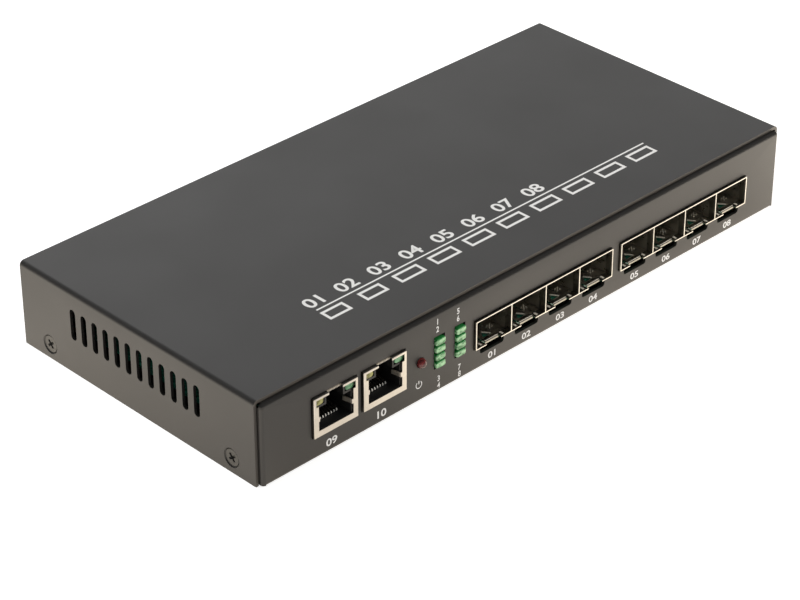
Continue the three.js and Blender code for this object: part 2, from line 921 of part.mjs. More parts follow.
// Edge connector inside each port, drawn about its middle with its front at Y 0
function edgeConnector() {
  const half = connectorWidth / 2;
  const profile = polygon([
    [connectorChamfer, 0],
    [connectorDepth, 0],
    [connectorDepth, connectorHeight - connectorChamfer],
    [connectorDepth - connectorChamfer, connectorHeight],
    [connectorChamfer, connectorHeight],
    [0, connectorHeight - connectorChamfer],
    [0, connectorChamfer],
  ]);
  const slot = block(
    [-cardSlotWidth / 2, cardSlotWidth / 2],
    [-overrun, cardSlotDepth],
    [cardSlotRise, cardSlotRise + cardSlotHeight],
  );
  return cut(pulled("x", profile, -half, half), slot);
}

cageLefts.forEach((x, cage) => {
  const front = frontFace - cageProud;
  const letter = ["a", "b"][cage];
  place(`fibre_cage_${letter}`, portCage(), finish(0xb9b2a2, 0.35, 0.9), [x, front, boardTop]);
  for (let i = 0; i < portsPerCage; i += 1) {
    const inward = front + cageDepth - cageSkin - connectorFromRear - connectorDepth;
    place(`edge_connector_${cage * portsPerCage + i + 1}`, edgeConnector(), finish(0x141414, 0.5, 0),
      [portMiddle(x, i), inward, boardTop]);
  }
});

// Power inlet: a moulded barrel socket whose round nose fills its hole in the rear wall, with the centre pin
const inletFace = rearFace - sheet;

function inletHousing() {
  const half = inletWidth / 2;
  const body = block(
    [inletX - half, inletX + half],
    [rearFace - inletDepth, inletFace],
    [boardTop, boardTop + inletHeight],
  );
  const nose = circle(inletX, inletZ, inletNoseRadius);
  const bore = circle(inletX, inletZ, inletBoreRadius);
  return cut(
    joined(body, pulled("y", nose, inletFace - overrun, rearFace, roundSteps)),
    pulled("y", bore, rearFace - inletBoreDepth, rearFace + overrun, roundSteps),
  );
}

function inletPin() {
  const outline = circle(inletX, inletZ, inletPinRadius);
  return pulled("y", outline, rearFace - inletBoreDepth, rearFace - inletPinRecess, smallRoundSteps);
}

place("inlet_housing", inletHousing(), finish(0x151515, 0.45, 0));
place("inlet_pin", inletPin(), finish(0xc9c6bd, 0.25, 1));

// Chips, heat sink and supply parts on the rear of the board, each drawn about its middle on the board
function flatChip(length, width, height) {
  const chamfer = height / 4;
  const halfLength = length / 2;
  const halfWidth = width / 2;
  const lower = polygon([
    [-halfWidth, 0],
    [halfWidth, 0],
    [halfWidth, height - chamfer],
    [halfWidth - chamfer, height],
    [chamfer - halfWidth, height],
    [-halfWidth, height - chamfer],
  ]);
  return pulled("x", lower, -halfLength, halfLength);
}

function heatSink() {
  const half = switchChipSide / 2 + heatSinkOverhang;
  const spacing = (2 * half - finThickness) / (finCount - 1);
  const fins = Array.from({ length: finCount }, (_, i) => {
    const x = i * spacing - half;
    return block([x, x + finThickness], [-half, half], [heatSinkBase / 2, heatSinkHeight]);
  });
  return joined(block([-half, half], [-half, half], [0, heatSinkBase]), ...fins);
}

function capacitor() {
  const rim = capacitorRadius;
  const groove = capacitorHeight / 6;
  return turned(
    [
      [0, 0],
      [rim, 0],
      [rim, groove],
      [rim - capacitorGroove, groove + capacitorGroove],
      [rim, groove + 2 * capacitorGroove],
      [rim, capacitorHeight - capacitorGroove],
      [rim - capacitorGroove, capacitorHeight],
      [0, capacitorHeight],
    ],
    screwSteps,
  );
}

function crystal() {
  const outline = roundedRectangle(
    [-crystalLength / 2, -crystalWidth / 2],
    [crystalLength / 2, crystalWidth / 2],
    crystalWidth / 2,
  );
  return pulled("z", outline, 0, crystalHeight, bendSteps);
}

function coil() {
  const half = coilSide / 2;
  const outline = roundedRectangle([-half, -half], [half, half], half / 4);
  return pulled("z", outline, 0, coilHeight);
}

const chipRow = cageRear + chipsFromCage;
const supplyRow = boardRear - supplyFromRear;
const black = 0x1a1a1c;
const inletLeft = inletX - inletWidth / 2;
place("switch_chip", flatChip(switchChipSide, switchChipSide, chipHeight), finish(black, 0.6, 0),
  [switchChipFromMiddle, chipRow, boardTop]);
place("heat_sink", heatSink(), finish(0x9a9c9e, 0.4, 0.8),
  [switchChipFromMiddle, chipRow, boardTop + chipHeight]);
place("link_chip", flatChip(linkChipSide, linkChipSide, chipHeight), finish(black, 0.6, 0),
  [-linkChipFromMiddle, chipRow, boardTop]);
place("crystal", crystal(), finish(0xb8b8b8, 0.3, 0.9),
  [-linkChipFromMiddle, chipRow + linkChipSide / 2 + partSpacing, boardTop]);
place("memory_chip", flatChip(memoryLength, memoryWidth, memoryHeight), finish(black, 0.6, 0),
  [-linkChipFromMiddle - linkChipSide / 2 - partSpacing, chipRow, boardTop]);
place("supply_coil", coil(), finish(0x2a2a2a, 0.7, 0.2),
  [inletLeft - supplySpacing - coilSide / 2, supplyRow, boardTop]);
for (let i = 0; i < capacitorCount; i += 1) {
  const x = inletLeft - 2 * supplySpacing - coilSide - capacitorRadius;
  place(`capacitor_${i + 1}`, capacitor(), finish(0x22252e, 0.35, 0.3),
    [x - i * (2 * capacitorRadius + capacitorSpacing), supplyRow, boardTop]);
}
place("supply_chip", flatChip(memoryLength, memoryWidth, memoryHeight), finish(black, 0.6, 0),
  [inletLeft - supplySpacing - coilSide / 2, supplyRow - coilSide / 2 - partSpacing, boardTop]);

export default product;
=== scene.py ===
"""Desktop fibre switch: two copper network jacks and eight fibre module ports in a folded steel case."""

import math

import bmesh
import bpy
from mathutils import Matrix, Vector


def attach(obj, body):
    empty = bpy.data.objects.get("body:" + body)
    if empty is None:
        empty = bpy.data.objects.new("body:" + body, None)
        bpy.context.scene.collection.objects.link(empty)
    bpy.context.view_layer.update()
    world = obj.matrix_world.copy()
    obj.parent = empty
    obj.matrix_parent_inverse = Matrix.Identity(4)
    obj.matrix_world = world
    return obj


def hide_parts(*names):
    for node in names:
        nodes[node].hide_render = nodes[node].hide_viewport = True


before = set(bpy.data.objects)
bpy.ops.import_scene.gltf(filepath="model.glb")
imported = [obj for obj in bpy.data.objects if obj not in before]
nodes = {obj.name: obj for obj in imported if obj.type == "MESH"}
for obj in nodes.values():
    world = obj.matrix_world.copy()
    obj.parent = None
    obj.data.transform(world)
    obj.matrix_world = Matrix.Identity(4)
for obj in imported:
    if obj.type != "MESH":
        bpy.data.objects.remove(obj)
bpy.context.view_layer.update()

# Camera: a long lens above the left end of the ports, where the photograph was taken from.


def placed(name, data):
    """A new object in the scene"""
    item = bpy.data.objects.new(name, data)
    bpy.context.collection.objects.link(item)
    return item


camera = placed("camera", bpy.data.cameras.new("camera"))
bpy.context.scene.camera = camera
camera.data.lens = 124.324
camera.data.sensor_width = 36
heading = Matrix.Rotation(math.radians(-44.345), 4, "Z")
tilt = Matrix.Rotation(math.radians(90 - 32.202), 4, "X")
roll = Matrix.Rotation(math.radians(-0.03), 4, "Z")
camera.matrix_world = Matrix.Translation((-0.49746, -0.50211, 0.43473)) @ heading @ tilt @ roll

# Table and light: the switch stands on a plain white table in a dim room, with a broad white screen behind.
# A large soft lamp stands at the left rear, a smaller one at the right end of the ports.
# The case mirrors the table, which carries painted light and shade that show only in reflections: a painted
# shadow, dim before the left of the front, and painted pools of light toward its right end.
bpy.context.scene.view_settings.view_transform = "Standard"


def combined(tree, operation, first, second):
    """Combines two numbers, each a plain value or the result of a node"""
    node = tree.nodes.new("ShaderNodeMath")
    node.operation = operation
    for socket, source in zip(node.inputs, (first, second)):
        if isinstance(source, float):
            socket.default_value = source
        else:
            tree.links.new(source, socket)
    return node.outputs[0]


def seen_directly(tree, *kinds):
    """1 for the given kinds of ray, otherwise 0"""
    path = tree.nodes.new("ShaderNodeLightPath")
    total = path.outputs[kinds[0]]
    for kind in kinds[1:]:
        total = combined(tree, "MAXIMUM", total, path.outputs[kind])
    return total


def chosen(tree, switch, otherwise, value):
    """A number that is value where the switch is 1, and otherwise where it is 0"""
    choice = tree.nodes.new("ShaderNodeMix")
    tree.links.new(switch, choice.inputs["Factor"])
    for socket, source in (("A", otherwise), ("B", value)):
        if isinstance(source, float):
            choice.inputs[socket].default_value = source
        else:
            tree.links.new(source, choice.inputs[socket])
    return choice.outputs["Result"]


def faded(tree, source, start, end, low, high, way="SMOOTHSTEP"):
    """Carries a number from low to high while the source goes from start to end"""
    fade = tree.nodes.new("ShaderNodeMapRange")
    fade.interpolation_type = way
    for socket, value in zip(("From Min", "From Max", "To Min", "To Max"), (start, end, low, high)):
        fade.inputs[socket].default_value = value
    tree.links.new(source, fade.inputs["Value"])
    return fade.outputs["Result"]


def axis(tree, source, name):
    """One coordinate of a place or a direction"""
    parts = tree.nodes.new("ShaderNodeSeparateXYZ")
    tree.links.new(source, parts.inputs[0])
    return parts.outputs[name]


def measured(tree, operation, source, point):
    """How far a place is from a point, or how closely a direction keeps to it"""
    measure = tree.nodes.new("ShaderNodeVectorMath")
    measure.operation = operation
    measure.inputs[1].default_value = point
    tree.links.new(source, measure.inputs[0])
    return measure.outputs["Value"]


screen_middle, lamp_glow_middle = (0.671, 0.695, 0.259), (0.235, 0.875, 0.423)
room_glow, backdrop_glow = 0.5, 1.0
room = bpy.data.worlds.new("room")
room.use_nodes = True
bpy.context.scene.world = room
tree = room.node_tree
wall = tree.nodes["Background"]
wall.inputs["Color"].default_value = (1, 1, 1, 1)
direction = tree.nodes.new("ShaderNodeTexCoord").outputs["Generated"]
height = axis(tree, direction, "Z")
bright = faded(tree, height, 0.0, 0.6, 0.22, 0.1)
for middle, start, end, level in ((screen_middle, 0.78, 0.93, 0.75), (lamp_glow_middle, 0.87, 0.99, 1.5)):
    patch = faded(tree, measured(tree, "DOT_PRODUCT", direction, middle), start, end, 0.0, level)
    patch = combined(tree, "MULTIPLY", patch, faded(tree, height, 0.6, 0.78, 1.0, 0.1))
    bright = combined(tree, "ADD", bright, patch)
glossy = chosen(tree, seen_directly(tree, "Is Glossy Ray"), room_glow, bright)
strength = chosen(tree, seen_directly(tree, "Is Camera Ray", "Is Transmission Ray"), glossy, backdrop_glow)
tree.links.new(strength, wall.inputs["Strength"])

table_size, table_glow = 3.0, 0.68
painted_shadow_middle, painted_lamp_pool, painted_pool_at_ports = (0, -0.1, 0), (0.15, -0.065, 0), (0.015, -0.05, 0)
mesh = bmesh.new()
bmesh.ops.create_grid(mesh, x_segments=1, y_segments=1, size=table_size)
data = bpy.data.meshes.new("table")
mesh.to_mesh(data)
mesh.free()
table = placed("table", data)
white_table = bpy.data.materials.new("white_table")
white_table.use_nodes = True
tree = white_table.node_tree
table_top = tree.nodes["Principled BSDF"]
table_top.inputs["Base Color"].default_value = (0.8, 0.8, 0.8, 1)
table_top.inputs["Roughness"].default_value = 0.9
table_top.inputs["Specular IOR Level"].default_value = 0.0
spot = tree.nodes.new("ShaderNodeTexCoord").outputs["Object"]
# Painted reflection: in mirrored rays the table glows with a painted shadow of the switch before its front
# and painted pools of light near the lamp and the ports.
away = measured(tree, "DISTANCE", spot, painted_shadow_middle)
painted_mirror_glow = combined(tree, "MULTIPLY", faded(tree, away, 0.03, 0.2, 0.15, 1.7),
                     faded(tree, away, 0.22, 0.45, 1.0, 0.15))
for middle, reach, level in ((painted_lamp_pool, 0.12, 1.3), (painted_pool_at_ports, 0.115, 1.6)):
    patch = faded(tree, measured(tree, "DISTANCE", spot, middle), 0.0, reach, level, 0.0)
    painted_mirror_glow = combined(tree, "ADD", painted_mirror_glow, patch)
glossy = chosen(tree, seen_directly(tree, "Is Glossy Ray"), 0.0, painted_mirror_glow)
seen = seen_directly(tree, "Is Camera Ray", "Is Transmission Ray")
tree.links.new(chosen(tree, seen, glossy, table_glow), table_top.inputs["Emission Strength"])
warmth = tree.nodes.new("ShaderNodeValToRGB")
warmth.color_ramp.elements[0].color = (1, 0.88, 0.72, 1)
warmth.color_ramp.elements[1].color = (1, 1, 1, 1)
tree.links.new(seen, warmth.inputs["Fac"])
tree.links.new(warmth.outputs["Color"], table_top.inputs["Emission Color"])
data.materials.append(white_table)


def soft_lamp(name, place, target, size, power, colour):
    """A square soft box that faces its target"""
    light = bpy.data.lights.new(name, "AREA")
    light.size = size
    light.energy = power
    light.color = colour
    lamp = placed(name, light)
    facing = (Vector(target) - Vector(place)).to_track_quat("-Z", "Y").to_matrix().to_4x4()
    lamp.matrix_world = Matrix.Translation(place) @ facing
    lamp.visible_glossy = False


soft_lamp("lamp_left_rear", (-0.7, 0.9, 0.8), (0, 0, 0), 0.7, 9.0, (1, 0.98, 0.95))
soft_lamp("lamp_right_front", (0.5, -0.42, 0.16), (0.11, -0.05, 0.01), 0.2, 3.0, (1, 0.93, 0.85))

# Base tray: bottom, front wall and rear wall folded from one steel sheet, 1 mm thick and painted satin black.
# The cut-outs are punched while it is flat, and small reliefs keep the corners free where two folds meet.
# All sizes from here on are in millimetres, and each finished piece is brought to metres.
millimetre = 0.001
case_front, case_rear = -50.35, 52.15
sheet, bend = 1.0, 1.1
tray_half, tray_height = 106.85, 26.35
top_return, side_return, side_flange = 9.0, 7.5, 10.0
corner_relief, corner_slit, corner_foot = 0.4, 0.08, 0.35
board_top = 7.4
bend_steps, weld_reach = 8, 0.002
pattern_low, pattern_high = 0.3, 0.7


def drawn_outline(corners):
    """The closed edge of one cut, drawn flat: corners are (across, along) or (across, along, radius)"""
    outline = bmesh.new()
    verts = [outline.verts.new((*corner[:2], 0)) for corner in corners]
    outline.faces.new(verts)
    for radius in sorted({corner[2] for corner in corners if len(corner) > 2}):
        round_corners = [v for v, corner in zip(verts, corners) if corner[2:] == (radius,)]
        bmesh.ops.bevel(outline, geom=round_corners, offset=radius, offset_type="OFFSET", segments=5,
                        profile=0.5, affect="VERTICES", material=-1)
    bmesh.ops.delete(outline, geom=outline.faces[:], context="FACES_ONLY")
    return outline


def rectangle(low, high, radius=0.0):
    """The four corners between two opposite ones, rounded by the radius"""
    (a0, b0), (a1, b1) = low, high
    return [(a, b, radius) if radius else (a, b) for a, b in ((a0, b0), (a1, b0), (a1, b1), (a0, b1))]


def round_hole(a, b, radius):
    """A square rounded until hardly any of its straight sides are left"""
    return rectangle((a - radius, b - radius), (a + radius, b + radius), radius * 0.999)


def add_mesh(mesh, part, place):
    """Moves one mesh to its place and joins it to another"""
    bmesh.ops.transform(part, matrix=place, verts=part.verts)
    carrier = bpy.data.meshes.new("carrier")
    part.to_mesh(carrier)
    part.free()
    mesh.from_mesh(carrier)
    bpy.data.meshes.remove(carrier)


def panel(mesh, place, outline, *cuts):
    """One flat panel of a sheet, with its openings"""
    flat = bmesh.new()
    for corners in (outline, *cuts):
        add_mesh(flat, drawn_outline(corners), Matrix())
    bmesh.ops.triangle_fill(flat, use_beauty=True, use_dissolve=False, edges=flat.edges[:], normal=(0, 0, 1))
    add_mesh(mesh, flat, place)


def fold(mesh, start, end, centre, axis, degrees, steps=bend_steps):
    """The bend that carries one straight edge of a panel round to the next panel"""
    verts = [mesh.verts.new(start), mesh.verts.new(end)]
    edge = mesh.edges.new(verts)
    bmesh.ops.spin(mesh, geom=[*verts, edge], cent=centre, axis=axis, dvec=(0, 0, 0),
                   angle=math.radians(degrees), steps=steps, use_duplicate=False)


def rounded_corner(mesh, centre, hand, inward):
    """The small ball where the bends of a wall's head and side meet"""
    angles = [math.radians(90 * step / bend_steps) for step in range(bend_steps + 1)]
    verts = [mesh.verts.new(centre + bend * Vector((0, -inward * math.cos(angle), math.sin(angle))))
             for angle in angles]
    edges = [mesh.edges.new(pair) for pair in zip(verts, verts[1:])]
    bmesh.ops.spin(mesh, geom=[*verts, *edges], cent=centre, axis=(0, 0, 1), dvec=(0, 0, 0),
                   angle=math.radians(90 * hand * inward), steps=bend_steps, use_duplicate=False)


def sheet_metal(mesh, thickness, middle, fold_radius=0.0):
    """Welds the panels and bends, turns the faces outwards and thickens the sheet inwards"""
    bmesh.ops.remove_doubles(mesh, verts=mesh.verts[:], dist=weld_reach)
    bmesh.ops.recalc_face_normals(mesh, faces=mesh.faces[:])
    outward = sum((face.calc_center_median() - middle).dot(face.normal) * face.calc_area()
                  for face in mesh.faces)
    if outward < 0:
        bmesh.ops.reverse_faces(mesh, faces=mesh.faces[:])
    if fold_radius:
        folds = [edge for edge in mesh.edges
                 if len(edge.link_faces) == 2 and edge.calc_face_angle() > math.radians(60)]
        bmesh.ops.bevel(mesh, geom=folds, offset=fold_radius, offset_type="OFFSET", segments=3, profile=0.5,
                        affect="EDGES", material=-1)
    bmesh.ops.solidify(mesh, geom=mesh.faces[:], thickness=thickness)


def upright(y):
    """Stands a panel drawn across and up in the plane of the front"""
    return Matrix.Translation((0, y, 0)) @ Matrix.Rotation(math.radians(90), 4, "X")


def sideways(x):
    """Stands a panel drawn from front to rear and up in the plane of a side"""
    return Matrix.Translation((x, 0, 0)) @ Matrix.Rotation(math.radians(90), 4, "Z") @ Matrix.Rotation(
        math.radians(90), 4, "X")


def flat_at(z):
    """Keeps a panel flat and carries it to a height"""
    return Matrix.Translation((0, 0, z))


def finished(name, mesh, material, slot, *cad_nodes, edge=0.0):
    """Brings a piece to metres, takes off its sharp edges and lets it stand for its CAD nodes"""
    bmesh.ops.scale(mesh, vec=(millimetre, millimetre, millimetre), verts=mesh.verts)
    data = bpy.data.meshes.new(name)
    mesh.to_mesh(data)
    mesh.free()
    data.materials.append(material)
    for polygon in data.polygons:
        polygon.use_smooth = True
    data.set_sharp_from_angle(angle=math.radians(35))
    piece = placed(name, data)
    if edge:
        bevel = piece.modifiers.new("edges", "BEVEL")
        bevel.width = edge * millimetre
        bevel.segments = 2
        bevel.limit_method = "ANGLE"
        bevel.angle_limit = math.radians(40)
        bevel.harden_normals = True
    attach(piece, "root")
    if cad_nodes:
        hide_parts(*cad_nodes)
    return piece


def new_finish(name, colour, roughness, metallic=0.0):
    """A finish with its colour and gloss, its node tree, its shader and the place on the object"""
    material = bpy.data.materials.new(name)
    material.use_nodes = True
    tree = material.node_tree
    shader = tree.nodes["Principled BSDF"]
    shader.inputs["Base Color"].default_value = (*colour, 1)
    shader.inputs["Roughness"].default_value = roughness
    shader.inputs["Metallic"].default_value = metallic
    place = tree.nodes.new("ShaderNodeTexCoord").outputs["Object"]
    return material, tree, shader, place


def mottle(tree, place, grains_per_mm, stretch=(1, 1, 1), detail=2.0):
    """A noise whose grains are counted per millimetre"""
    mapping = tree.nodes.new("ShaderNodeMapping")
    mapping.inputs["Scale"].default_value = stretch
    noise = tree.nodes.new("ShaderNodeTexNoise")
    noise.inputs["Scale"].default_value = grains_per_mm * 1000
    noise.inputs["Detail"].default_value = detail
    tree.links.new(place, mapping.inputs["Vector"])
    tree.links.new(mapping.outputs["Vector"], noise.inputs["Vector"])
    return noise.outputs["Fac"]


def spread(tree, source, low, high, socket):
    """Spreads a pattern between two values on a socket of the shader"""
    tree.links.new(faded(tree, source, pattern_low, pattern_high, low, high, "LINEAR"), socket)


def tint(tree, source, shader, dark, light):
    """Colours the surface between a dark and a light shade along a pattern"""
    ramp = tree.nodes.new("ShaderNodeValToRGB")
    stops = zip(ramp.color_ramp.elements, (pattern_low, pattern_high), (dark, light))
    for element, position, colour in stops:
        element.position = position
        element.color = (*colour, 1)
    tree.links.new(source, ramp.inputs["Fac"])
    tree.links.new(ramp.outputs["Color"], shader.inputs["Base Color"])


def relief(tree, source, shader, depth_mm, strength=1.0):
    """Raises a pattern by a depth in millimetres"""
    bump = tree.nodes.new("ShaderNodeBump")
    bump.inputs["Strength"].default_value = strength
    bump.inputs["Distance"].default_value = depth_mm * millimetre
    tree.links.new(source, bump.inputs["Height"])
    tree.links.new(bump.outputs["Normal"], shader.inputs["Normal"])


def near_any(tree, coordinate, places, reach):
    """1 where a coordinate lies within reach of one of the places, otherwise 0"""
    total = 0.0
    for place in places:
        near = tree.nodes.new("ShaderNodeMath")
        near.operation = "COMPARE"
        near.inputs[1].default_value = place * millimetre
        near.inputs[2].default_value = reach * millimetre
        tree.links.new(coordinate, near.inputs[0])
        total = combined(tree, "MAXIMUM", total, near.outputs[0])
    return total


# The cover wears the same paint. Its cut edges are paler, partly as thinner paint and partly as a painted
# highlight that fades toward the right end.
cover_front, cover_rear, edge_reach = -48.7, 50.5, 0.02
case_paint, tree, shader, place = new_finish("case_paint", (0.022, 0.021, 0.02), 0.42)
grain = mottle(tree, place, 2.4)
patches = mottle(tree, place, 0.035, detail=4.0)
# Painted highlight on the cover's front and rear cut edges, weaker toward the right end, on top of thinner
# paint.
thin_paint_and_painted_highlight = near_any(tree, axis(tree, place, "Y"), (cover_front, cover_rear), edge_reach)
thin_paint_and_painted_highlight = combined(tree, "MULTIPLY", thin_paint_and_painted_highlight, faded(tree, axis(tree, place, "X"), 0.0, 0.1, 1.0, 0.25))
shade = combined(tree, "ADD", combined(tree, "MULTIPLY", patches, 0.02), 0.3)
shade = combined(tree, "ADD", shade, combined(tree, "MULTIPLY", thin_paint_and_painted_highlight, 0.4))
tint(tree, shade, shader, (0.0205, 0.0195, 0.0185), (0.065, 0.058, 0.05))
spread(tree, patches, 0.4, 0.45, shader.inputs["Roughness"])
relief(tree, grain, shader, 0.011)

jack_centres = [-80.65, -62.2]
jack_half, jack_height = 8.15, 12.7
cutout_gap, cutout_corner, notch_corner = 0.3, 0.4, 0.8
cage_lefts = [-26.7, 34.3]
cage_width, cage_height, cage_skin, port_pitch = 57.3, 9.4, 0.3, 14.25
port_middles = [left + cage_skin / 2 + (port + 0.5) * port_pitch for left in cage_lefts for port in range(4)]
finger_notch, finger_notch_foot = 9.7, 4.85
lamp_columns = [-40.6, -32.5]
lamp_row_middle = 13.15
lamp_slot_half, lamp_slot_foot, lamp_slot_head = 2.1, 8.075, 18.675
power_lamp_x, power_lamp_z, power_hole = -47.85, 12.8, 1.65
inlet_x, inlet_z, inlet_hole = 80.0, 13.9, 4.2
screw_places = [-39.05, 38.85]
cover_screw_height, screw_hole = 4.8, 1.8


def cage_cutout(left):
    """The opening round one cage of four, with a finger notch under each port"""
    low, high = board_top - cutout_gap, board_top + cage_height + cutout_gap
    right = left + cage_width + cutout_gap
    corners = [(left - cutout_gap, high, cutout_corner), (left - cutout_gap, low, cutout_corner)]
    for middle in port_middles:
        if left < middle < right:
            near, far = middle - finger_notch / 2, middle + finger_notch / 2
            corners += [(near, low), (near, finger_notch_foot, notch_corner),
                        (far, finger_notch_foot, notch_corner), (far, low)]
    return [*corners, (right, low, cutout_corner), (right, high, cutout_corner)]


front_cuts = [
    *(rectangle((x - jack_half - cutout_gap, board_top - cutout_gap),
                (x + jack_half + cutout_gap, board_top + jack_height + cutout_gap)) for x in jack_centres),
    *(rectangle((x - lamp_slot_half, lamp_slot_foot), (x + lamp_slot_half, lamp_slot_head))
      for x in lamp_columns),
    round_hole(power_lamp_x, power_lamp_z, power_hole),
    *(cage_cutout(left) for left in cage_lefts),
]
rear_cuts = [round_hole(inlet_x, inlet_z, inlet_hole)]

side = tray_half - bend
head = tray_height - bend
return_head = head - corner_slit
wall_outline = [(-side, bend), (side, bend), (side, return_head), (side, head),
                (-side, head), (-side, return_head)]
flange_front = case_front + side_return + corner_relief
flange_rear = case_rear - side_return - corner_relief
mesh = bmesh.new()
for end, inward, cuts in ((case_front, 1, front_cuts), (case_rear, -1, rear_cuts)):
    panel(mesh, upright(end), wall_outline, *cuts)
    bent = end + inward * bend
    fold(mesh, (-side, end, head), (side, end, head), (0, bent, head), (1, 0, 0), -90 * inward)
    fold(mesh, (-side, end, bend), (side, end, bend), (0, bent, bend), (1, 0, 0), 90 * inward)
    panel(mesh, flat_at(tray_height), rectangle((-side, bent), (side, end + inward * top_return)))
    for hand in (-1, 1):
        for foot, top in ((corner_foot, bend), (bend, return_head)):
            fold(mesh, (hand * side, end, foot), (hand * side, end, top), (hand * side, bent, 0),
                 (0, 0, 1), 90 * hand * inward)
        back = end + inward * side_return
        panel(mesh, sideways(hand * tray_half), [
            (bent, bend), (bent, corner_foot), (back, corner_foot), (back, return_head), (bent, return_head)])
        rounded_corner(mesh, Vector((hand * side, bent, head)), hand, inward)
panel(mesh, flat_at(0), [
    (-side, case_front + bend), (side, case_front + bend), (side, flange_front), (side, flange_rear),
    (side, case_rear - bend), (-side, case_rear - bend), (-side, flange_rear), (-side, flange_front)])
for hand in (-1, 1):
    # Each side flange bends up from the bottom and takes the cover's screws.
    fold(mesh, (hand * side, flange_front, 0), (hand * side, flange_rear, 0), (hand * side, 0, bend),
         (0, 1, 0), -90 * hand)
    panel(mesh, sideways(hand * tray_half), rectangle((flange_front, bend), (flange_rear, side_flange)),
          *(round_hole(y, cover_screw_height, screw_hole) for y in screw_places))
sheet_metal(mesh, sheet, Vector((0, 0, tray_height / 2)))
finished("tray_sheet", mesh, case_paint, "case_paint", "base_tray", edge=0.06)

# Main board: green fibreglass board with its solder mask, tracks and plated holes, on four brass standoffs.
# The switching chip wears a plain extruded heat sink, and the supply parts stand beside the inlet.
# These are the CAD's own shapes, seen only through the vents and the ports.


def dressed(material, *names):
    """Gives CAD nodes their finish"""
    for name in names:
        for holder in nodes[name].material_slots:
            holder.material = material


solder_mask, tree, shader, place = new_finish("solder_mask", (0.02, 0.16, 0.11), 0.3)
tracks = tree.nodes.new("ShaderNodeTexWave")
tracks.bands_direction = "DIAGONAL"
tracks.inputs["Scale"].default_value = 260
tracks.inputs["Distortion"].default_value = 6
tracks.inputs["Detail"].default_value = 1
tree.links.new(place, tracks.inputs["Vector"])
tint(tree, tracks.outputs["Fac"], shader, (0.012, 0.12, 0.08), (0.03, 0.22, 0.14))
relief(tree, tracks.outputs["Fac"], shader, 0.02)
shader.inputs["Coat Weight"].default_value = 0.4
dressed(solder_mask, "main_board")

turned_brass, tree, shader, place = new_finish("turned_brass", (0.62, 0.46, 0.18), 0.3, 1.0)
spread(tree, mottle(tree, place, 1.5, stretch=(1, 1, 8)), 0.22, 0.4, shader.inputs["Roughness"])
dressed(turned_brass, *(f"board_standoff_{number}" for number in range(1, 5)))

zinc, tree, shader, place = new_finish("zinc", (0.6, 0.6, 0.58), 0.3, 1.0)
spread(tree, mottle(tree, place, 1.2), 0.22, 0.42, shader.inputs["Roughness"])
dressed(zinc, "crystal", *(f"board_screw_{number}" for number in range(1, 5)))

chip_case, tree, shader, place = new_finish("chip_case", (0.012, 0.012, 0.013), 0.6)
fine = mottle(tree, place, 6)
tint(tree, fine, shader, (0.009, 0.009, 0.01), (0.016, 0.016, 0.017))
relief(tree, fine, shader, 0.01)
dressed(chip_case, "switch_chip", "link_chip", "memory_chip", "supply_chip")

plain_aluminium, tree, shader, place = new_finish("plain_aluminium", (0.6, 0.61, 0.62), 0.35, 1.0)
drawn_lines = mottle(tree, place, 4, stretch=(1, 0.02, 1))
spread(tree, drawn_lines, 0.28, 0.45, shader.inputs["Roughness"])
relief(tree, drawn_lines, shader, 0.004)
dressed(plain_aluminium, "heat_sink")

shrunk_sleeve, tree, shader, place = new_finish("shrunk_sleeve", (0.014, 0.016, 0.03), 0.25)
spread(tree, mottle(tree, place, 0.6), 0.2, 0.35, shader.inputs["Roughness"])
dressed(shrunk_sleeve, *(f"capacitor_{number}" for number in range(1, 4)))

pressed_powder, tree, shader, place = new_finish("pressed_powder", (0.03, 0.03, 0.032), 0.75)
fine = mottle(tree, place, 3)
tint(tree, fine, shader, (0.02, 0.02, 0.022), (0.045, 0.045, 0.047))
relief(tree, fine, shader, 0.03)
dressed(pressed_powder, "supply_coil")

# Network jacks: a folded nickel shield round a black moulded housing with eight gold spring wires.
# The shield's face has a window with two lamp windows above it, a latch notch open at the top,
# and an earthing tab on each side that turns in and back to touch the plug.
jack_face = -51.15
jack_depth, jack_skin = 21.3, 0.3
window_half, window_foot, lamp_floor = 6.4, 1.85, 9.7
lamp_half, lamp_head = 7.25, 11.95
notch_half, notch_depth = 2.55, 1.2
tab_foot, tab_head, tab_root, tab_lean, tab_depth = 4.9, 6.4, 0.45, 0.65, 3.3
lens_inner, lens_radius, lens_recess, lens_depth = 4.0, 0.9, 0.6, 10.0
rib_count, rib_pitch, rib_width, rib_height, rib_depth, rib_front = 10, 0.5, 0.24, 0.55, 0.4, 0.9
side_reach, wire_spacing, wire_share = 0.12, 1.02, 0.7
tip_start, tip_end = -47.35, -47.1


def flattened(mesh):
    """Joins the triangles of each flat face"""
    bmesh.ops.dissolve_limit(mesh, angle_limit=math.radians(0.5), verts=mesh.verts[:], edges=mesh.edges[:])


def softened(name, node, edge, material, slot):
    """A moulded or pressed piece with its sharp edges taken off, from a merged copy of its CAD node"""
    mesh = bmesh.new()
    mesh.from_mesh(nodes[node].data)
    bmesh.ops.scale(mesh, vec=(1000, 1000, 1000), verts=mesh.verts)
    bmesh.ops.remove_doubles(mesh, verts=mesh.verts[:], dist=weld_reach)
    flattened(mesh)
    return finished(name, mesh, material, slot, node, edge=edge)


def pulled_block(place, depth, outline):
    """A closed block as deep as given behind its outline"""
    block = bmesh.new()
    panel(block, place, outline)
    bmesh.ops.solidify(block, geom=block.faces[:], thickness=depth)
    return block


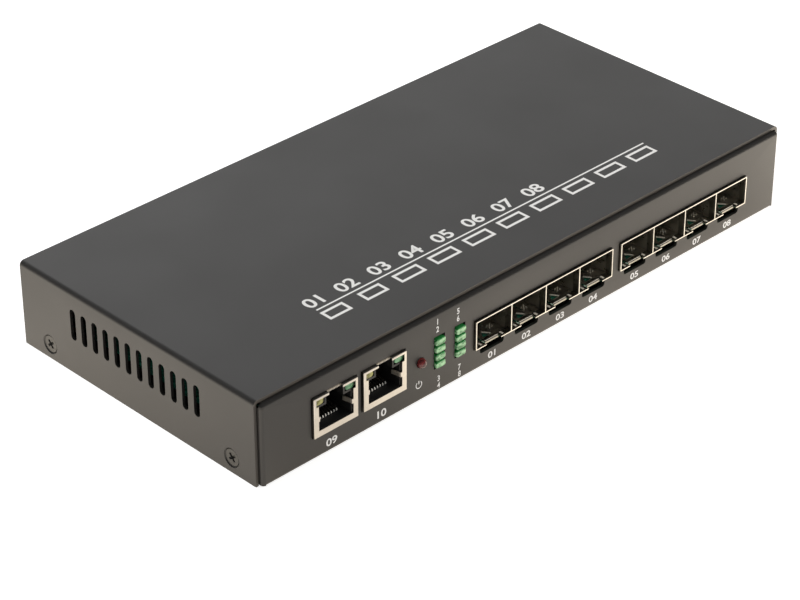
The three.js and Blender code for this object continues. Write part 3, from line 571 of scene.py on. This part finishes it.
def drawn_out(mesh, edges, step):
    """Draws edges out by a step and gives back the new corners and the new outer edges"""
    grown = bmesh.ops.extrude_edge_only(mesh, edges=edges)["geom"]
    verts = [part for part in grown if isinstance(part, bmesh.types.BMVert)]
    bmesh.ops.translate(mesh, vec=step, verts=verts)
    return verts, [part for part in grown
                   if isinstance(part, bmesh.types.BMEdge) and all(v in verts for v in part.verts)]


def rounded_front(block, radius, segments=3):
    """Rounds the edges of the face that looks to the front"""
    flattened(block)
    face = max(block.faces, key=lambda face: -face.normal.y * face.calc_area())
    bmesh.ops.bevel(block, geom=face.edges[:], offset=radius, offset_type="OFFSET", segments=segments,
                    profile=0.5, affect="EDGES", material=-1)


satin_nickel, tree, shader, place = new_finish("satin_nickel", (0.78, 0.73, 0.65), 0.34, 1.0)
rolled = mottle(tree, place, 2.2, stretch=(0.25, 1, 1))
spread(tree, rolled, 0.28, 0.42, shader.inputs["Roughness"])
# Painted shade: the shield's sides are darker behind its face, where the cut-out shades them.
sides = [middle + hand * jack_half for middle in jack_centres for hand in (-1, 1)]
side_shade_start, side_shade_end = jack_face + 0.06, jack_face + 0.16
behind = faded(tree, axis(tree, place, "Y"), side_shade_start * millimetre, side_shade_end * millimetre, 0.0, 1.0)
painted_side_shade = combined(tree, "MULTIPLY", near_any(tree, axis(tree, place, "X"), sides, side_reach), behind)
shade = combined(tree, "SUBTRACT", 0.64, combined(tree, "MULTIPLY", painted_side_shade, 0.4))
shade = combined(tree, "SUBTRACT", shade, combined(tree, "MULTIPLY", mottle(tree, place, 0.25), 0.1))
tint(tree, shade, shader, (0.1, 0.095, 0.085), (0.84, 0.79, 0.71))
relief(tree, rolled, shader, 0.002)

jack_plastic, tree, shader, place = new_finish("jack_plastic", (0.012, 0.012, 0.012), 0.42)
fine = mottle(tree, place, 5)
spread(tree, fine, 0.36, 0.5, shader.inputs["Roughness"])
relief(tree, fine, shader, 0.006)

spring_gold, tree, shader, place = new_finish("spring_gold", (0.9, 0.8, 0.6), 0.2, 1.0)
spread(tree, mottle(tree, place, 3), 0.14, 0.28, shader.inputs["Roughness"])

# Painted glint and shade: each wire's front tip is near white and its length behind it near black.
painted_tip_glint_and_shade, tree, shader, place = new_finish("painted_tip_glint_and_shade", (1, 0.97, 0.9), 0.25)
spread(tree, mottle(tree, place, 3), 0.18, 0.32, shader.inputs["Roughness"])
tip = faded(tree, axis(tree, place, "Y"), tip_start * millimetre, tip_end * millimetre, 1.0, 0.0)
tint(tree, tip, shader, (0.02, 0.018, 0.014), (1, 0.97, 0.9))


def clear_lens(name, dark, light, seam_pitch=0.0, seam_start=0.0):
    """Clear tinted plastic with pale streaks, a painted reflection of a bright reflector inside, and painted
    shade along its seams
    """
    material, tree, shader, place = new_finish(name, light, 0.12)
    painted_reflector_streaks = mottle(tree, place, 0.9, stretch=(0.6, 1, 1), detail=1.0)
    shade = combined(tree, "SUBTRACT", combined(tree, "MULTIPLY", painted_reflector_streaks, 1.7), 0.35)
    # Painted shade: darker bands where the stacked lamps meet.
    if seam_pitch:
        moved = tree.nodes.new("ShaderNodeMapping")
        moved.inputs["Location"].default_value = (0, 0, -seam_start * millimetre)
        painted_seam_shade = tree.nodes.new("ShaderNodeTexWave")
        painted_seam_shade.bands_direction = "Z"
        # At a scale of 1 the wave repeats every pi / 10 metres.
        painted_seam_shade.inputs["Scale"].default_value = math.pi / (10 * seam_pitch * millimetre)
        tree.links.new(place, moved.inputs["Vector"])
        tree.links.new(moved.outputs["Vector"], painted_seam_shade.inputs["Vector"])
        shade = combined(tree, "MULTIPLY", shade, faded(tree, painted_seam_shade.outputs["Fac"], 0.0, 0.7, 0.35, 1.15))
    tint(tree, shade, shader, dark, light)
    relief(tree, painted_reflector_streaks, shader, 0.2, 0.7)
    shader.inputs["IOR"].default_value = 1.5
    shader.inputs["Transmission Weight"].default_value = 0.35
    shader.inputs["Coat Weight"].default_value = 0.3
    return material


yellow_lens = clear_lens("yellow_lens", (0.22, 0.2, 0.03), (0.6, 0.58, 0.16))
jack_green_lens = clear_lens("jack_green_lens", (0.04, 0.22, 0.07), (0.22, 0.56, 0.28))

for number, middle in enumerate(jack_centres, 1):
    stand = Matrix.Translation((middle, jack_face, board_top))
    shell = bmesh.new()
    panel(shell, upright(0), [
        (-notch_half, jack_height), (-jack_half, jack_height), (-jack_half, 0), (jack_half, 0),
        (jack_half, jack_height), (notch_half, jack_height), (notch_half, lamp_head), (lamp_half, lamp_head),
        (lamp_half, lamp_floor), (window_half, lamp_floor), (window_half, tab_head), (window_half, tab_foot),
        (window_half, window_foot), (-window_half, window_foot), (-window_half, tab_foot),
        (-window_half, tab_head), (-window_half, lamp_floor), (-lamp_half, lamp_floor),
        (-lamp_half, lamp_head), (-notch_half, lamp_head)])
    for hand in (-1, 1):
        root = Vector((hand * window_half, 0, (tab_foot + tab_head) / 2))
        edge = min(shell.edges, key=lambda edge: ((edge.verts[0].co + edge.verts[1].co) / 2 - root).length)
        for step in ((-hand * tab_root, 0, 0), (-hand * tab_lean, tab_depth, 0)):
            edge = drawn_out(shell, [edge], step)[1][0]
    panel(shell, flat_at(jack_height), [
        (-jack_half, 0), (-notch_half, 0), (-notch_half, notch_depth), (notch_half, notch_depth),
        (notch_half, 0), (jack_half, 0), (jack_half, jack_depth), (-jack_half, jack_depth)])
    for hand in (-1, 1):
        panel(shell, sideways(hand * jack_half), rectangle((0, 0), (jack_depth, jack_height)))
    panel(shell, upright(jack_depth), rectangle((-jack_half, 0), (jack_half, jack_height)))
    sheet_metal(shell, jack_skin, Vector((0, jack_depth / 2, jack_height / 2)), fold_radius=0.15)
    for rib in range(rib_count):
        x = (rib - (rib_count - 1) / 2) * rib_pitch
        add_mesh(shell, pulled_block(upright(rib_front), rib_depth, rectangle(
            (x - rib_width / 2, jack_height - rib_height), (x + rib_width / 2, jack_height))), Matrix())
    bmesh.ops.transform(shell, matrix=stand, verts=shell.verts)
    finished(f"jack_{number}_shield", shell, satin_nickel, "jack_shield", f"network_jack_{number}_shield",
             edge=0.05)
    softened(f"jack_{number}_housing", f"network_jack_{number}_housing", 0.08, jack_plastic, "black_plastic")
    contacts = softened(f"jack_{number}_contacts", f"network_jack_{number}_contacts", 0.03, painted_tip_glint_and_shade,
                        "contact_gold")
    # Each wire is drawn in to a share of its width about its own middle.
    for vertex in contacts.data.vertices:
        across = 1000 * vertex.co.x - middle
        wire = (math.floor(across / wire_spacing) + 0.5) * wire_spacing
        vertex.co.x = millimetre * (middle + wire + (across - wire) * wire_share)
    for hand, colour, material in ((-1, "yellow", yellow_lens), (1, "green", jack_green_lens)):
        ends = sorted((hand * lens_inner, hand * lamp_half))
        lens = pulled_block(upright(lens_recess), lens_depth,
                            rectangle((ends[0], lamp_floor), (ends[1], lamp_head), lens_radius))
        rounded_front(lens, 0.25)
        bmesh.ops.transform(lens, matrix=stand, verts=lens.verts)
        finished(f"jack_{number}_{colour}_lens", lens, material, f"{colour}_lens",
                 f"network_jack_{number}_{colour}_lamp")

# Port lamps: eight flat green lamps in two columns, each a rounded clear block on two bent leads.
# They stand close together and look through one slot in the front wall for each column.
# The power lamp beside them is a round red one with a domed end.
lamp_proud, lamp_back, lamp_pitch = 0.7, 5.3, 2.5
lens_half_width, lens_half_height, lens_corner = 1.9, 1.125, 0.75
collar_half, collar_corner, collar_depth = 2.3, 0.2, 0.8
lead_half, lead_spacing, lead_reach, lead_stagger, lead_overlap = 0.25, 2.54, 1.5, 1.6, 0.3
power_radius, power_proud, power_collar = 1.5, 1.8, 1.95


def extend(mesh, way, distance):
    """Draws out the face that looks the given way"""
    way = Vector(way)
    mesh.normal_update()
    face = max(mesh.faces, key=lambda face: (face.normal.dot(way), face.calc_center_median().dot(way)))
    grown = bmesh.ops.extrude_face_region(mesh, geom=[face])["geom"]
    bmesh.ops.translate(mesh, vec=way * distance,
                        verts=[part for part in grown if isinstance(part, bmesh.types.BMVert)])


def bent_lead(x, start, behind, drop):
    """One square lead that runs back from the lamp and turns down to the board"""
    lead = bmesh.new()
    bmesh.ops.create_cube(lead, size=2 * lead_half, matrix=Matrix.Translation((x, behind - lead_half, 0)))
    extend(lead, (0, -1, 0), behind - 2 * lead_half - start)
    extend(lead, (0, 0, -1), drop - lead_half)
    return lead


def add_leads(lamp, reach, drop):
    """Adds a lamp's two leads, side by side"""
    for hand in (-1, 1):
        lead = bent_lead(hand * lead_spacing / 2, lamp_back - lead_overlap, lamp_back + reach, drop)
        add_mesh(lamp, lead, Matrix())


def turned(profile, steps):
    """A round piece about the Y axis, from its half outline as (radius, depth)"""
    mesh = bmesh.new()
    verts = [mesh.verts.new((radius, depth, 0)) for radius, depth in profile]
    edges = [mesh.edges.new(pair) for pair in zip(verts, verts[1:])]
    bmesh.ops.spin(mesh, geom=[*verts, *edges], cent=(0, 0, 0), axis=(0, 1, 0), dvec=(0, 0, 0),
                   angle=2 * math.pi, steps=steps, use_merge=True, use_duplicate=False)
    bmesh.ops.remove_doubles(mesh, verts=mesh.verts[:], dist=0.001)
    bmesh.ops.recalc_face_normals(mesh, faces=mesh.faces[:])
    return mesh


port_green = clear_lens("port_green", (0.03, 0.3, 0.07), (0.5, 0.98, 0.5), lamp_pitch,
                        lamp_row_middle - 2 * lamp_pitch)
power_red = clear_lens("power_red", (0.08, 0.008, 0.008), (0.33, 0.05, 0.05))

for column, x in enumerate(lamp_columns):
    for row in range(4):
        height = lamp_row_middle + (1.5 - row) * lamp_pitch
        lamp = pulled_block(upright(-lamp_proud), lamp_back + lamp_proud, rectangle(
            (-lens_half_width, -lens_half_height), (lens_half_width, lens_half_height), lens_corner))
        rounded_front(lamp, 0.3, 4)
        add_mesh(lamp, pulled_block(upright(lamp_back - collar_depth), collar_depth, rectangle(
            (-collar_half, -lens_half_height), (collar_half, lens_half_height), collar_corner)), Matrix())
        add_leads(lamp, lead_reach + (3 - row) * lead_stagger, height - board_top)
        bmesh.ops.transform(lamp, matrix=Matrix.Translation((x, case_front, height)), verts=lamp.verts)
        number = column * 4 + row + 1
        finished(f"port_lens_{number}", lamp, port_green, "green_lens", f"port_lamp_{number}")

dome = [(power_radius * math.sin(math.radians(angle)),
         power_radius - power_proud - power_radius * math.cos(math.radians(angle)))
        for angle in range(15, 91, 15)]
collar_front = lamp_back - collar_depth
lamp = turned([(0, -power_proud), *dome, (power_radius, collar_front), (power_collar, collar_front),
               (power_collar, lamp_back), (0, lamp_back)], 32)
add_leads(lamp, lead_reach, power_lamp_z - board_top)
bmesh.ops.transform(lamp, matrix=Matrix.Translation((power_lamp_x, case_front, power_lamp_z)),
                    verts=lamp.verts)
finished("power_lens", lamp, power_red, "red_lens", "power_lamp")

# Fibre cages: two ganged cages of four ports, pressed from thin tinned steel and soldered to the board.
# Each port's floor has a latch tongue with a rolled lip and a beaded three-cornered hole, and bright springs.
# At the back of each port stands a moulded edge connector with two rows of gold wires.
connector_front, slot_foot, slot_head = -13.95, 2.1, 3.5
wire_pitch, wire_half, wire_rise, wires_per_row = 0.8, 0.22, 0.12, 11
wire_start, wire_length = 0.6, 4.2

tinned_steel, tree, shader, place = new_finish("tinned_steel", (0.66, 0.63, 0.55), 0.32, 1.0)
rolled = mottle(tree, place, 1.6, stretch=(1, 0.3, 1))
spread(tree, rolled, 0.26, 0.42, shader.inputs["Roughness"])
# Painted light and shade: the steel is lighter on the front rim, darkest just behind it over the tongues'
# lips, and middling deeper inside, with random tone on top.
rim_start, rim_end, inside_start, inside_end = -51.0, -50.6, -49.4, -48.6
depth = axis(tree, place, "Y")
rim = faded(tree, depth, rim_start * millimetre, rim_end * millimetre, 0.54, 0.3)
inside = faded(tree, depth, inside_start * millimetre, inside_end * millimetre, 0.0, 0.5)
painted_shade_and_tone = combined(tree, "ADD", combined(tree, "MAXIMUM", rim, inside),
                  combined(tree, "MULTIPLY", mottle(tree, place, 0.3), 0.1))
tint(tree, painted_shade_and_tone, shader, (0.24, 0.225, 0.185), (0.9, 0.87, 0.8))
relief(tree, rolled, shader, 0.002)
for letter in "ab":
    softened(f"module_cage_{letter}", f"fibre_cage_{letter}", 0.06, tinned_steel, "cage_steel")

bright_tin, tree, shader, place = new_finish("bright_tin", (0.8, 0.77, 0.68), 0.3, 0.15)
spread(tree, mottle(tree, place, 4), 0.22, 0.42, shader.inputs["Roughness"])
floor_top = board_top + cage_skin
strip_place, strip_half, strip_front, strip_back = 4.35, 0.35, -50.4, -49.1
strip_rise, strip_depth = 0.06, 0.1
latch_side, latch_base, latch_tip, bead, bead_top, bead_depth = 1.5, -48.25, -46.05, 0.28, 8.16, 0.3
lip_half, lip_back, lip_line, lip_top, lip_depth = 2.65, -49.95, 0.07, 8.14, 0.2
spring_half, spring_rise, spring_depth = 0.12, 0.35, 0.37
spring_ends = [(4.35, -45.1), (3.78, -44.64), (4.92, -45.56), (5.0, -44.45), (3.7, -45.75)]


def floor_block(x, y, half_width, half_length, top, depth):
    """A flat block about a spot of the floor, given by its top and its depth"""
    return pulled_block(flat_at(top), depth, rectangle(
        (x - half_width, y - half_length), (x + half_width, y + half_length)))


def port_trim():
    """The bright edges in one port: the latch hole's bead, the lip's rolled edge, the floor's springs"""
    trim = bmesh.new()
    edge = Vector((-latch_side, latch_tip - latch_base))
    out = Vector((edge.y, -edge.x)).normalized()
    ends = (Vector((latch_side, latch_base)), Vector((0, latch_tip)))
    outline = [ends[0], ends[0] + bead * out, ends[1] + bead * out, ends[1]]
    blocks = [pulled_block(flat_at(bead_top), bead_depth, [tuple(corner) for corner in outline]),
              floor_block(0, lip_back, lip_half, lip_line, lip_top, lip_depth)]
    blocks += [floor_block(hand * strip_place, (strip_front + strip_back) / 2, strip_half,
                           (strip_back - strip_front) / 2, floor_top + strip_rise, strip_depth)
               for hand in (-1, 1)]
    blocks += [floor_block(x, y, spring_half, spring_half, floor_top + spring_rise, spring_depth)
               for x, y in spring_ends]
    for block in blocks:
        add_mesh(trim, block, Matrix())
    return trim


for number, middle in enumerate(port_middles, 1):
    trim = port_trim()
    bmesh.ops.translate(trim, vec=(middle, 0, 0), verts=trim.verts)
    finished(f"module_trim_{number}", trim, bright_tin, "cage_steel")
    softened(f"module_connector_{number}", f"edge_connector_{number}", 0.1, jack_plastic, "black_plastic")
    wires = bmesh.new()
    for row, height in enumerate((slot_foot + wire_rise, slot_head - wire_rise)):
        for wire in range(wires_per_row - row):
            x = (wire - (wires_per_row - row - 1) / 2) * wire_pitch
            add_mesh(wires, pulled_block(upright(connector_front + wire_start), wire_length, rectangle(
                (middle + x - wire_half, board_top + height - wire_rise),
                (middle + x + wire_half, board_top + height + wire_rise))), Matrix())
    finished(f"module_contacts_{number}", wires, spring_gold, "contact_gold")

# Power inlet: a moulded barrel socket whose round nose fills its hole in the rear wall.
# Its nickel centre pin stands a little behind the nose, with a rounded tip.
pin_radius, pin_tip_radius, pin_recess, pin_reach = 1.05, 0.4, 0.8, 10.5

softened("inlet_socket", "inlet_housing", 0.15, jack_plastic, "black_plastic")
pin_tip, pin_back = case_rear - pin_recess, case_rear - pin_reach
tip = [(pin_radius - pin_tip_radius + pin_tip_radius * math.sin(math.radians(angle)),
        pin_tip - pin_tip_radius + pin_tip_radius * math.cos(math.radians(angle)))
       for angle in range(0, 91, 18)]
pin = turned([(0, pin_tip), *tip, (pin_radius, pin_back), (0, pin_back)], 24)
bmesh.ops.transform(pin, matrix=Matrix.Translation((inlet_x, 0, inlet_z)), verts=pin.verts)
finished("inlet_centre_pin", pin, satin_nickel, "inlet_pin", "inlet_pin")

# Top cover: top and two sides folded from the same painted sheet, slid over the tray.
# Each side has a row of twelve vent slots with round ends and two countersunk screw holes.
# The sheet's cut edges are lightly rounded, and the print on top stands a hair above the paint.
case_half, case_height, cover_bend = 108.0, 27.5, 1.5
print_height = 0.015
vent_middle, vent_pitch, vent_count = 0.9, 4.8, 12
vent_foot, vent_head, vent_half = 11.5, 21.6, 1.2
seat_outer, seat_inner = 3.1, 2.18

cover_top = case_height - print_height
vents = [
    rectangle((y - vent_half, vent_foot), (y + vent_half, vent_head), vent_half * 0.999)
    for y in (vent_middle + (row - (vent_count - 1) / 2) * vent_pitch for row in range(vent_count))
]
mesh = bmesh.new()
for hand in (-1, 1):
    x = hand * case_half
    panel(mesh, sideways(x), rectangle((cover_front, 0), (cover_rear, cover_top - cover_bend)), *vents,
          *(round_hole(y, cover_screw_height, seat_inner) for y in screw_places))
    fold(mesh, (x, cover_front, cover_top - cover_bend), (x, cover_rear, cover_top - cover_bend),
         (x - hand * cover_bend, 0, cover_top - cover_bend), (0, 1, 0), -90 * hand)
panel(mesh, flat_at(cover_top), rectangle((cover_bend - case_half, cover_front),
                                          (case_half - cover_bend, cover_rear)))
sheet_metal(mesh, sheet, Vector((0, 0, 0)))
for hand in (-1, 1):
    for y in screw_places:
        centre = Vector((hand * case_half, y, cover_screw_height))
        rim = [v for v in mesh.verts if (v.co - centre).length < seat_inner + 0.05]
        widen = seat_outer / seat_inner
        bmesh.ops.scale(mesh, vec=(1, widen, widen), space=Matrix.Translation(-centre), verts=rim)
finished("cover_sheet", mesh, case_paint, "case_paint", "top_cover", edge=0.17)

# Cover screws: four black countersunk machine screws with a tapered cross recess.
# Each head sits a little below the paint, in its conical seat in the side of the cover.
head_radius, head_depth, head_rim, head_recess, shank_radius, screw_length = 2.62, 1.2, 0.12, 0.25, 1.5, 5.0
cross_reach, cross_half, cross_depth, cross_taper, cross_turn = 1.5, 0.38, 0.9, 0.55, 38


def sunk(mesh, edges, drop, share):
    """Carries a closed edge down and draws it in to a share of its size"""
    verts, edges = drawn_out(mesh, edges, (0, 0, -drop))
    bmesh.ops.scale(mesh, vec=(share, share, 1), verts=verts)
    return edges


black_zinc, tree, shader, place = new_finish("black_zinc", (0.06, 0.059, 0.056), 0.36, 0.7)
spread(tree, mottle(tree, place, 1.4), 0.28, 0.46, shader.inputs["Roughness"])
relief(tree, mottle(tree, place, 5), shader, 0.004)

for side_name, hand in (("left", -1), ("right", 1)):
    for end_name, y in zip(("front", "rear"), screw_places):
        cross = [(cross_reach, cross_half), (cross_half, cross_half), (cross_half, cross_reach)]
        corners = []
        for quarter in range(4):
            turn = Matrix.Rotation(math.radians(90 * quarter), 2)
            corners += [tuple(turn @ Vector(corner)) for corner in cross]
        screw = bmesh.new()
        panel(screw, Matrix(), round_hole(0, 0, head_radius), corners)
        open_edges = [edge for edge in screw.edges if len(edge.link_faces) == 1]
        recess_edges = [edge for edge in open_edges
                        if max(v.co.length for v in edge.verts) < head_radius - 0.5]
        rim_edges = [edge for edge in open_edges if edge not in recess_edges]
        floor = sunk(screw, recess_edges, cross_depth, cross_taper)
        bmesh.ops.triangle_fill(screw, use_beauty=True, use_dissolve=False, edges=floor)
        for drop, share in ((head_rim, 1.0), (head_depth - head_rim, shank_radius / head_radius),
                            (screw_length - head_depth, 1.0)):
            rim_edges = sunk(screw, rim_edges, drop, share)
        bmesh.ops.triangle_fill(screw, use_beauty=True, use_dissolve=False, edges=rim_edges)
        bmesh.ops.recalc_face_normals(screw, faces=screw.faces[:])
        seat = Matrix.Translation((hand * (case_half - head_recess), y, cover_screw_height))
        facing = (Matrix.Rotation(math.radians(90 * hand), 4, "Y")
                  @ Matrix.Rotation(math.radians(cross_turn), 4, "Z"))
        bmesh.ops.transform(screw, matrix=seat @ facing, verts=screw.verts)
        finished(f"black_screw_{side_name}_{end_name}", screw, black_zinc, "black_screw",
                 f"cover_screw_{side_name}_{end_name}", edge=0.05)

# Print: white ink on the paint. On the front, plain numbers for the ports and lamps, and a plain power sign.
# On the top, a thin rule between a row of plain numbers and a row of plain port outlines.
ink_depth, front_lift, letter_boldness = 0.008, 0.006, 0.02

white_ink, tree, shader, place = new_finish("white_ink", (0.85, 0.85, 0.84), 0.5)
patchy = mottle(tree, place, 3.5)
tint(tree, patchy, shader, (0.78, 0.78, 0.77), (0.9, 0.9, 0.89))
spread(tree, patchy, 0.42, 0.6, shader.inputs["Roughness"])


def number_print(mesh, number, height, place, stretch):
    """Adds one plain number, as tall as given, stretched across and centred on its place"""
    curve = bpy.data.curves.new("number", "FONT")
    curve.body = number
    curve.size = 1.0
    curve.offset = letter_boldness
    writing = placed("number", curve)
    bpy.context.view_layer.update()
    drawn = bpy.data.meshes.new_from_object(writing.evaluated_get(bpy.context.evaluated_depsgraph_get()))
    figures = bmesh.new()
    figures.from_mesh(drawn)
    bpy.data.objects.remove(writing)
    bpy.data.curves.remove(curve)
    bpy.data.meshes.remove(drawn)
    bmesh.ops.remove_doubles(figures, verts=figures.verts[:], dist=0.0001)
    low = min(v.co.y for v in figures.verts)
    high = max(v.co.y for v in figures.verts)
    middle = sum(f(v.co.x for v in figures.verts) for f in (min, max)) / 2
    bmesh.ops.translate(figures, vec=(-middle, -(low + high) / 2, 0), verts=figures.verts)
    size = height / (high - low)
    bmesh.ops.scale(figures, vec=(size * stretch, size, 1), verts=figures.verts)
    add_mesh(mesh, figures, place)


def front_spot(x, z):
    """A place for print on the front wall"""
    return Matrix.Translation((x, case_front - front_lift, z)) @ Matrix.Rotation(math.radians(90), 4, "X")


def inked(name, mesh):
    """Gives the flat print its thickness"""
    bmesh.ops.solidify(mesh, geom=mesh.faces[:], thickness=ink_depth)
    finished(name, mesh, white_ink, None)


lamp_number_tall, jack_number_tall, port_number_tall = 1.9, 2.5, 2.1
jack_number_height, port_number_height = 3.21, 2.76
figures = bmesh.new()
for number, x, z in (("1", -41.38, 23.4), ("2", -41.36, 20.94), ("3", -40.83, 4.43), ("4", -40.81, 2.12),
                     ("5", -33.28, 23.3), ("6", -33.26, 20.89), ("7", -32.54, 4.44), ("8", -32.52, 2.13)):
    number_print(figures, number, lamp_number_tall, front_spot(x, z), 0.85)
for number, x in (("09", -81.81), ("10", -62.92)):
    number_print(figures, number, jack_number_tall, front_spot(x, jack_number_height), 1.25)
for number, x in enumerate(port_middles, 1):
    number_print(figures, f"0{number}", port_number_tall, front_spot(x, port_number_height), 1.3)
inked("front_numbers", figures)

sign_x, sign_z, sign_radius, sign_line, sign_gap = -48.6, 5.8, 1.1, 0.3, 38
stroke_foot, stroke_head = 0.2, 1.35
sign = bmesh.new()
start = Vector((math.sin(math.radians(sign_gap)), math.cos(math.radians(sign_gap)), 0))
verts = [sign.verts.new(start * radius)
         for radius in (sign_radius - sign_line / 2, sign_radius + sign_line / 2)]
bmesh.ops.spin(sign, geom=[*verts, sign.edges.new(verts)], cent=(0, 0, 0), axis=(0, 0, 1), dvec=(0, 0, 0),
               angle=math.radians(2 * sign_gap - 360), steps=28, use_duplicate=False)
panel(sign, Matrix(), rectangle((-sign_line / 2, stroke_foot), (sign_line / 2, stroke_head)))
bmesh.ops.transform(sign, matrix=front_spot(sign_x, sign_z), verts=sign.verts)
inked("power_sign", sign)

legend_left, legend_number_right, legend_outline_right = -66.7, 28.4, 69.45
number_row, rule_row, outline_row = -23.45, -27.4, -31.35
number_tall, number_half, outline_tall, outline_line, rule_line = 4.8, 3.4, 4.7, 0.95, 0.6
copper_half, fibre_half, rule_inset, rule_overrun = 4.2, 4.9, 1.1, 0.5
legend = bmesh.new()
first, last = legend_left + number_half, legend_number_right - number_half
for number in range(8):
    x = first + (last - first) * number / 7
    number_print(legend, f"0{number + 1}", number_tall, Matrix.Translation((x, number_row, cover_top)), 1.15)
panel(legend, flat_at(cover_top), rectangle((legend_left + rule_inset, rule_row - rule_line / 2),
                                            (legend_outline_right + rule_overrun, rule_row + rule_line / 2)))
first, last = legend_left + fibre_half, legend_outline_right - fibre_half
for port in range(10):
    x = first + (last - first) * port / 9
    wide = copper_half if port < len(jack_centres) else fibre_half
    low, high = outline_row - outline_tall / 2, outline_row + outline_tall / 2
    inner = rectangle((x - wide + outline_line, low + outline_line),
                      (x + wide - outline_line, high - outline_line))
    panel(legend, flat_at(cover_top), rectangle((x - wide, low), (x + wide, high)), inner)
bmesh.ops.recalc_face_normals(legend, faces=legend.faces[:])
bmesh.ops.translate(legend, vec=(0, 0, ink_depth - 0.002), verts=legend.verts)
inked("top_legend", legend)
